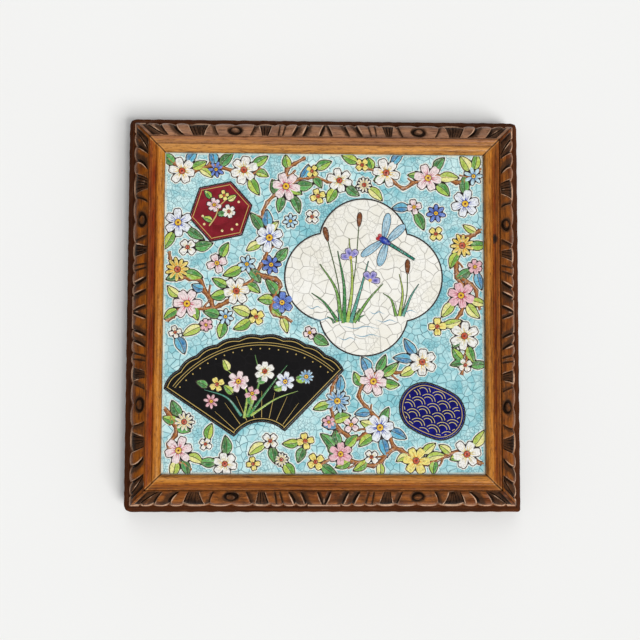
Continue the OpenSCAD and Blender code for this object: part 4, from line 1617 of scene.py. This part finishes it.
def crooked(path):
    """The path with a small kink at each joint, and how thick the twig is at each point."""
    n = len(path)
    joints = np.arange(0, n + JOINT_EVERY, JOINT_EVERY)
    kinks = rng.uniform(-1.1, 1.1, (len(joints), 2))
    kinks[0] = kinks[-1] = 0
    shift = np.column_stack([np.interp(np.arange(n), joints, kinks[:, k]) for k in (0, 1)])
    from_joint = (np.arange(n) + JOINT_EVERY / 2) % JOINT_EVERY
    return path + shift, 0.86 + 0.42 * bell(from_joint, JOINT_EVERY / 2, 1.0)


def twig(path, width, lift, taper):
    """A brown twig: pale fringe, printed edge, body and a lighter upper side."""
    path, knobs = crooked(path)
    thinner = {"taper": taper, "knobs": knobs}
    inked_width = width + 0.8
    fringe_width = inked_width + 2 * FRINGE
    line(fringes, path, fringe_width, FACE_Z, 0.012, BODY, taper=0.7 * taper, knobs=knobs)
    line(printed, path, inked_width, FACE_Z + lift, 0.05, BARK_DARK, **thinner)
    line(stems, path, width, FACE_Z + lift, 0.13, BARK, **thinner)
    line(stems, path + 0.25, 0.4 * width, FACE_Z + 0.09 + lift, 0.05, BARK_LIGHT, **thinner)
    return path


print("a twig has a joint every", JOINT_EVERY, "mm")

# %% Grow the stems
SPUR_EVERY = 19
stem_paths = []
for number, knots in enumerate(STEMS):
    path = twig(smooth_path(knots), 2.6, 0.004 * number, 0.4)
    for i in range(8, len(path) - 8, SPUR_EVERY):
        heading = heading_of(path[i + 2] - path[i - 2]) + (48 if (i // SPUR_EVERY) % 2 else -48)
        length = rng.uniform(4.5, 7.5)
        spur = placed([(0, 0), (rng.uniform(-0.8, 0.8), length / 2), (0, length)], path[i], heading)
        if off_reserves(spur[-1], 1.5) and np.abs(spur[-1]).max() < EDGE - 1:
            twig(smooth_path(spur), 1.3, 0.004 * number, 0.5)
    stem_paths.append(path)
print(len(stem_paths), "stems")

# %% Plant the flowers
# Tint, size and place of each listed flower. They are rosettes, but for the ones below.
PLANTED = [("pink", 8.8, (-84, 5)), ("yellow", 8.2, (-54, 13)), ("blue", 8.6, (-34, 46)),
           ("pink", 8.8, (-24, 78)), ("white", 7.4, (9, 82)), ("yellow", 8.4, (38, 87)),
           ("pink", 8.6, (64, 84)), ("blue", 8.4, (87, 68)), ("butter", 6.6, (85, 42)),
           ("rose", 8.4, (84, 11)), ("white", 8.6, (86, -14)), ("yellow", 8.0, (60, -30)),
           ("pink", 8.6, (30, -42)), ("sky", 6.6, (8, -54)), ("blue", 8.6, (34, -70)),
           ("butter", 8.2, (56, -90)), ("white", 8.4, (87, -86)), ("rose", 7.2, (10, -86)),
           ("yellow", 8.2, (-88, 87)), ("white", 8.4, (-50, 88)), ("butter", 6.6, (-90, 26)),
           ("blue", 8.4, (-90, 55)), ("pink", 6.0, (-66, 30)), ("pink", 8.2, (-88, -84)),
           ("white", 7.2, (-60, -92)), ("deep", 6.6, (-26, 6)), ("yellow", 7.4, (-30, -14))]
OTHER_KINDS = {(85, 42): "daisy", (8, -54): "daisy", (-90, 26): "daisy", (-66, 30): "cove_sheen"}
FILLING = [("cove_sheen", "butter"), ("cove_sheen", "pink"), ("daisy", "white"), ("star", "deep"),
           ("cove_sheen", "white"), ("star", "sky"), ("rosette", "rose"), ("cove_sheen", "yellow")]
FLOWERS_WANTED = 58
plant_rng = np.random.default_rng(73)
for tint, size, at in PLANTED:
    kind = OTHER_KINDS.get(at, "rosette")
    if free(at, size * 0.7, 0.8):
        flower(at, kind, tint, size, plant_rng.uniform(0, 60), plant_rng, 0.05)
        taken.append((*at, size))
for _ in range(2000):
    at = plant_rng.uniform(-93, 93, 2)
    size = plant_rng.uniform(3.8, 5.6)
    kind, tint = FILLING[plant_rng.integers(len(FILLING))]
    if len(taken) < FLOWERS_WANTED and free(at, size + 2.5, 1.0):
        flower(at, kind, tint, size, plant_rng.uniform(0, 60), plant_rng, 0.05)
        taken.append((*at, size))
print(len(taken), "flowers")


# %% Test for a leaf's room
LEAF_GAP = 6.4
leaf_spots = []
leaf_rng = np.random.default_rng(11)


def try_leaf(foot, degrees, length, width):
    """Sets a leaf if its middle and tip are on free ground and no other leaf is near."""
    middle, tip = placed([(0, length * 0.55), (0, length)], foot, degrees)
    clear = off_reserves(middle, width * 0.6) and off_reserves(tip, 0.8)
    if np.abs(tip).max() > EDGE + 3 or not clear:
        return
    near_flower = any(math.dist(tip, spot[:2]) < spot[2] + 0.5 for spot in taken)
    if near_flower or any(math.dist(middle, other) < LEAF_GAP for other in leaf_spots):
        return
    greens = GREENS[leaf_rng.integers(len(GREENS))]
    level = 0.03 + 0.003 * (len(leaf_spots) % 5)
    leaf(foot, degrees, length, width, greens, leaf_rng.uniform(-0.9, 0.9), level)
    leaf_spots.append(middle)


print("leaves keep", LEAF_GAP, "mm apart")

# %% Set the leaves
for x, y, radius in taken:
    first = leaf_rng.uniform(0, 360)
    for k in range(4):
        angle = first + 38 * k + leaf_rng.uniform(-8, 8)
        foot = placed([(0, radius * 0.75)], (x, y), angle)[0]
        angle += leaf_rng.uniform(-10, 10)
        try_leaf(foot, angle, leaf_rng.uniform(9.5, 13), leaf_rng.uniform(5.0, 6.4))
for path in stem_paths:
    for i in range(4, len(path) - 2, 9):
        angle = heading_of(path[i + 1] - path[i - 1]) + (55 if (i // 9) % 2 else -55)
        try_leaf(path[i], angle, leaf_rng.uniform(7.5, 10.5), leaf_rng.uniform(4.2, 5.4))
print(len(leaf_spots), "leaves")

# %% [markdown]
# ## The picture in the cream reserve
#
# Reeds and two water irises stand at the edge of a pond, and a dragonfly rests above them. The
# motifs are drawn in the same drops and lines as the rest, with thin strokes for the water.

# %% Paint the reeds
pond = np.array(QUATREFOIL_AT, float)
# Foot, knee and tip of each reed, and its width.
REEDS = [((-14, -27), (-17, -8), (-27, 8), 2.2), ((-12, -28), (-12, -6), (-16, 16), 2.4),
         ((-10, -28), (-7, -4), (-9, 24), 2.2), ((-8, -28), (-2, -8), (3, 10), 2.4),
         ((-6, -28), (3, -14), (12, -4), 2.0), ((-16, -27), (-24, -16), (-32, -10), 1.8),
         ((22, -24), (24, -10), (22, 2), 1.8), ((24, -24), (29, -12), (34, -4), 1.8),
         ((20, -24), (17, -14), (12, -10), 1.6)]
for number, (*knots, width) in enumerate(REEDS):
    blade([pond + knot for knot in knots], width, REED_GREENS[number % 4], PAD + 0.004 * number)
for foot, top in (((-11, -27), (-3, 31)), ((-13, -27), (-22, 22)), ((23, -24), (27, 2))):
    knee = (np.array(foot) + top) / 2 + (1.5, 0)
    stalk = smooth_path([pond + foot, pond + knee, pond + top])
    line(printed, stalk, 0.7, FACE_Z + PAD, 0.06, linear(74, 92, 52))
    head = placed(petal_outline(9, 3.2), stalk[-1], heading_of(stalk[-1] - stalk[-4]))
    inked(head, PAD + 0.02, 0.12, linear(150, 88, 44), linear(112, 62, 32))
for k in range(9):
    foot = pond + (-18 + 1.8 * k, -28.5 + 0.6 * (k % 3))
    lean = (-4.5 + 1.1 * k, 4 + 1.5 * (k % 4))
    knots = [foot, foot + np.multiply(lean, (0.3, 0.6)), foot + lean]
    blade(knots, 1.3, REED_GREENS[(k + 1) % 4], PAD + 0.02)
print(len(REEDS), "reeds by the pond")

# %% Paint the irises and the water
for spot, turn in (((-8, 12), 20), ((4, -2), -30)):
    for lean in (-62, 0, 62):
        outline = placed(petal_outline(6.4, 4.2, 0.6), pond + spot, turn + lean)
        inked(outline, PAD + 0.06, 0.12, linear(86, 84, 180), linear(190, 180, 228))
    dot(petals, pond + spot, 1.1, linear(240, 200, 70), PAD + 0.18)
RIPPLES = ((-24, -26, 16), (-2, -31, 24), (14, -27, 14), (2, -36, 18), (27, -21, 12),
           (-30, -19, 10), (8, -22, 10), (-10, -38, 12))
for across, up, length in RIPPLES:
    t = np.linspace(-1, 1, 12)
    ripple = np.column_stack([across + t * length / 2, up + 0.7 * np.sin(t * 5)]) + pond
    line(printed, ripple, 0.6, FACE_Z + PAD, 0.05, linear(128, 168, 188), both=True)
print(len(RIPPLES), "ripples on the water")

# %% Paint the dragonfly
FLY_AT, FLY_TURN = pond + (17, 20), 58
# Root, lean, length and width of each wing.
WINGS = ((5.5, 68, 17, 5.2), (5.5, -68, 17, 5.2), (3.2, 104, 15.5, 5.6), (3.2, -104, 15.5, 5.6))


def on_fly(points):
    """Points drawn with the dragonfly's head up, moved to its place."""
    return placed(points, FLY_AT, FLY_TURN)


for root, lean, length, width in WINGS:
    wing = on_fly(placed(petal_outline(length, width), (0, root), lean))
    inked(wing, PAD + 0.03, 0.10, linear(206, 232, 240), linear(156, 200, 222))
    for spread in (-6, 0, 6):
        vein = [(0, 1), (0, length * 0.5), (0, length * 0.86)]
        vein = on_fly(placed(vein, (0, root), lean + spread))
        line(printed, vein, 0.32, FACE_Z + PAD + 0.15, 0.04, linear(70, 110, 140), taper=0.6)
tail = on_fly([(0, y) for y in np.linspace(2, -17, 20)])
line(printed, tail, 2.6, FACE_Z + PAD + 0.06, 0.05, INK, taper=0.3)
line(petals, tail, 1.7, FACE_Z + PAD + 0.08, 0.14, linear(40, 140, 120), taper=0.35)
for y in np.arange(-16, 2, 2.4):
    band = on_fly([(-0.8, y), (0, y - 0.3), (0.8, y)])
    line(printed, band, 0.4, FACE_Z + PAD + 0.19, 0.03, INK)
chest = on_fly(placed(petal_outline(8, 4.4), (0, 0.5), 0))
inked(chest, PAD + 0.15, 0.12, linear(52, 84, 190), linear(26, 40, 140))
for side in (-1, 1):
    dot(petals, on_fly([(side * 1.1, 9.0)])[0], 1.25, linear(176, 44, 48), PAD + 0.18)
print("dragonfly painted")

# %% [markdown]
# ## The fan, the hexagon and the oval
#
# The fan has thin gold ribs and a spray of flowers. The hexagon holds one sprig with berries.
# The oval has rows of waves, an old pattern of overlapping arcs.

# %% Paint the fan
fan_rng = np.random.default_rng(5)


def on_fan(angle, reach):
    """A place on the fan: degrees from its middle line, and distance from its pivot."""
    a = math.radians(angle)
    return placed([(reach * math.sin(a), reach * math.cos(a))], FAN_AT, FAN_TURN)[0]


for angle in np.linspace(-FAN_HALF + 8, FAN_HALF - 8, 8):
    rib = [on_fan(angle, reach) for reach in (FAN_INNER + 2, 30, 38)]
    line(rims, rib, 0.4, FACE_Z + PAD, 0.05, GOLD, taper=0.6)
for inset in (4.5, 6.0):
    turns = np.linspace(-FAN_HALF + 3, FAN_HALF - 3, 60)
    arc = [on_fan(angle, FAN_OUTER - inset) for angle in turns]
    line(rims, arc, 0.35, FACE_Z + PAD, 0.05, GOLD)
for knots, width, tint in (
        (((-20, 24), (-8, 40), (-18, 58)), 1.6, 2), (((-16, 24), (4, 44), (2, 60)), 1.8, 0),
        (((-14, 24), (14, 42), (22, 56)), 1.7, 1), (((-22, 26), (-26, 40), (-36, 52)), 1.5, 3),
        (((-10, 24), (20, 34), (36, 44)), 1.5, 2)):
    path = [on_fan(angle, reach) for angle, reach in knots]
    blade(path, width, REED_GREENS[tint], PAD, linear(36, 66, 40))
for angle, reach, kind, tint, size in (
        (-12, 46, "rosette", "pink", 6.6), (8, 50, "rosette", "white", 6.2),
        (-27, 50, "cove_sheen", "butter", 4.8), (24, 46, "rosette", "blue", 5.8),
        (-3, 37, "cove_sheen", "rose", 4.6), (36, 54, "daisy", "sky", 4.2),
        (-38, 44, "star", "rose", 4.2)):
    flower(on_fan(angle, reach), kind, tint, size, fan_rng.uniform(0, 60), fan_rng, PAD)
for angle, reach, lean, tint in ((-20, 40, 40, 1), (2, 43, -60, 0), (16, 40, -80, 5), (-16, 54, 20, 2),
                                 (30, 50, -100, 5), (-33, 52, 60, 0), (-6, 30, 10, 5)):
    leaf(on_fan(angle, reach), lean + FAN_TURN, 8.0, 4.6, GREENS[tint], 0.4, PAD)
for angle in np.linspace(-FAN_HALF + 5, FAN_HALF - 5, 19):
    dot(rims, on_fan(angle, FAN_OUTER - 8.2), 0.45, GOLD, PAD)
print("fan painted")

# %% Paint the hexagon
middle = np.array(HEXAGON_AT, float)
HEX_SPRIG = [(-7, -9), (-3, -3), (-1, 3), (4, 8)]
sprig = smooth_path([middle + knot for knot in HEX_SPRIG])
line(printed, sprig, 0.9, FACE_Z + PAD, 0.08, linear(196, 176, 110), taper=0.4)
for spot, kind, tint, size in (((-4, 4), "rosette", "pink", 4.4), ((5, 0), "rosette", "white", 4.2),
                               ((2, 10), "cove_sheen", "butter", 3.2)):
    flower(middle + spot, kind, tint, size, 15, fan_rng, PAD)
for spot, lean, tint in (((-5, -6), 70, 1), ((-2, -2), -70, 0), ((4, 7), -60, 2), ((-6, 8), 40, 5)):
    leaf(middle + spot, lean, 6.4, 3.6, GREENS[tint], 0.3, PAD)
for x, y in ((-11, -3), (-10, -8), (10, -8), (7, -11), (11, 6), (-9, 12), (1, -12)):
    dot(petals, middle + (x, y), 0.8, linear(244, 226, 160), PAD)
print("hexagon painted")

# %% Paint the oval
WAVE_R = 5.0
PALE_GOLD = linear(226, 208, 120)
wave_room = grown(oval, -2.2)
for row in range(-4, 5):
    for column in range(-5, 6):
        crest = np.array([(column + 0.5 * (row % 2)) * 2 * WAVE_R, row * WAVE_R * 0.8])
        for radius in (WAVE_R - 0.3, WAVE_R - 2.0):
            a = np.linspace(0.45, math.pi - 0.45, 12)
            arc = np.column_stack([np.cos(a), np.sin(a)]) * radius + crest
            arc = placed(arc, OVAL_AT, OVAL_TURN)
            within = [point for point in arc if inside(point, wave_room)]
            if len(within) > 2:
                line(rims, within, 0.38, FACE_Z + PAD, 0.06, PALE_GOLD)
print("oval painted")

# %% Collect the enamels
for label, store in (("printed_lines", printed), ("petal_enamel", petals), ("leaf_enamel", leaves),
                     ("stem_enamel", stems), ("rim_lines", rims), ("pale_fringes", fringes)):
    piece = make_piece(label, store.points, store.faces, {"tint": store.tints}, 70)
    fit(piece, "tile_glaze", ink_finish if "lines" in label else enamel_finish, "tile")

# %% [markdown]
# ## The four feet
#
# The feet are turned: a flattened bun with two cut lines round its belly, a short neck, and a
# tenon that is glued through the board into the corner of the frame. A turned piece is a
# profile swept round an axis, just as on a lathe. The lines are real grooves in the profile.

# %% Turned wood
turned_finish, tree, shader = finish_tree("turned wood", Specular_IOR_Level=0.3, Coat_Roughness=0.3)
where = object_at(tree)
upright = stretched(tree, where, 1, 1, 0.6)
grain = place(tree, "wood grain", {"Vector": upright, "Light": linear(150, 88, 46),
                                   "Dark": linear(72, 36, 17), "Figure": 0.5, "Pores": 0.6})
grime_and_light = place(tree, "grime wear and painted light", {"Vector": where, "Color": grain["Color"],
                               "Hollow": stored(tree, "hollow"), "Ridge": stored(tree, "ridge"),
                               "Grime_and_shade": linear(36, 26, 20), "Pit": (0.01, 0.008, 0.006, 1),
                               "Rubbed_and_highlight": linear(176, 122, 84)})
tree.links.new(grime_and_light["Color"], shader["Base Color"])
tree.links.new(between(tree, grime_and_light["Dull"], 0.0, 1.0, 0.42, 0.6), shader["Roughness"])
tree.links.new(between(tree, grain["Streak"], 0.0, 1.0, 0.05, 0.2), shader["Coat Weight"])
tree.links.new(bump(tree, grain["Height"], 0.3, 0.00015), shader["Normal"])
print(turned_finish.name, "has", len(tree.nodes), "nodes")

# %% Turn the feet
TENON_R = 3.5
LINE_DEPTH = 0.3
LINES_AT = (2.7, 4.4)
ROUND_COUNT = 72

for corner in ("back_right", "front_right", "front_left", "back_left"):
    node = "bun_foot_" + corner
    foot_low, foot_high = corners(node)
    radius = (foot_high[0] - foot_low[0]) / 2
    middle = (foot_low + foot_high) / 2
    belly = BASE_Z * 0.45
    angles = np.linspace(-math.pi / 2, math.pi / 2, 61)
    bun_r = radius - belly + belly * np.cos(angles)
    bun_z = belly + belly * np.sin(angles)
    groove = sum(bell(bun_z, z, 0.16) for z in LINES_AT)
    bun_r = bun_r - LINE_DEPTH * groove
    neck = [(radius * 0.76, 2 * belly + 0.05), (radius * 0.78, 2 * belly + 0.25),
            (radius * 0.78, BASE_Z), (TENON_R, BASE_Z), (TENON_R, foot_high[2] - 0.4),
            (TENON_R - 0.4, foot_high[2])]
    foot_r = np.concatenate([[1.5, radius - belly - 1.2], bun_r, [r for r, _ in neck]])
    foot_z = np.concatenate([[0.25, 0.0], bun_z, [z for _, z in neck]])
    marks = np.concatenate([[0, 0], groove, np.zeros(len(neck))])
    rings = [np.column_stack([middle[:2] + r * circle(ROUND_COUNT), np.full(ROUND_COUNT, z)])
             for r, z in zip(foot_r, foot_z)]
    # The grooves are darkened, with grime and painted shade, and the belly is paler.
    values = {"hollow": np.repeat(marks, ROUND_COUNT),
              "ridge": np.repeat(bell(foot_z, belly, 1.2) * 0.6, ROUND_COUNT)}
    faces = bar_faces(len(rings), ROUND_COUNT)
    foot = make_piece(node + "_turned", np.vstack(rings), faces, values, 35)
    fit(foot, "turned_wood", turned_finish, node)

# %% [markdown]
# ## Board, keys and screws
#
# These keep their solids, because sawn boards and bought screws are no more than they look:
# they only need a finish. The board is plain light wood with its grain from left to right, the
# keys are the same hardwood as the rails, and the screws are brass, dulled by age.

# %% Finishes for the plain pieces
def plain_wood(name, light, dark, roughness):
    """Sawn wood with its grain along X."""
    material, tree, shader = finish_tree(name, Specular_IOR_Level=0.2)
    where = object_at(tree)
    grain = place(tree, "wood grain", {"Vector": where, "Light": light, "Dark": dark,
                                       "Figure": 0.6, "Pores": 0.7})
    stains = between(tree, noise(tree, where, 24.0, 4.0, 0.6), 0.5, 0.7, 0.0, 0.35)
    stained = blended(tree, stains, grain["Color"], linear(150, 120, 92), "MULTIPLY")
    tree.links.new(stained, shader["Base Color"])
    rough = between(tree, grain["Streak"], 0.0, 1.0, roughness, roughness + 0.15)
    tree.links.new(rough, shader["Roughness"])
    tree.links.new(bump(tree, grain["Height"], 0.4, 0.0002), shader["Normal"])
    return material


def old_brass(name):
    """Brass that has gone brown in its hollows."""
    material, tree, shader = finish_tree(name, Metallic=1.0)
    tarnish = between(tree, noise(tree, object_at(tree), 900.0, 4.0, 0.65), 0.4, 0.65)
    browned = blended(tree, tarnish, linear(206, 168, 96), linear(128, 88, 44))
    tree.links.new(browned, shader["Base Color"])
    tree.links.new(between(tree, tarnish, 0.0, 1.0, 0.3, 0.55), shader["Roughness"])
    tree.links.new(bump(tree, tarnish, 0.1, 0.0001), shader["Normal"])
    return material


# %% Dress the plain pieces
BOARD_WOOD = plain_wood("board wood", linear(206, 160, 108), linear(142, 98, 56), 0.6)
KEY_WOOD = plain_wood("key wood", linear(150, 92, 50), linear(76, 40, 20), 0.5)
BRASS = old_brass("screw brass")
PLAIN = (("base_board", BOARD_WOOD), ("mitre_key", KEY_WOOD), ("board_screws", BRASS))
for node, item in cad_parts.items():
    for start, finish in PLAIN:
        if node.startswith(start):
            item.data.materials.clear()
            item.data.materials.append(finish)
            print(node, "is finished in", finish.name)
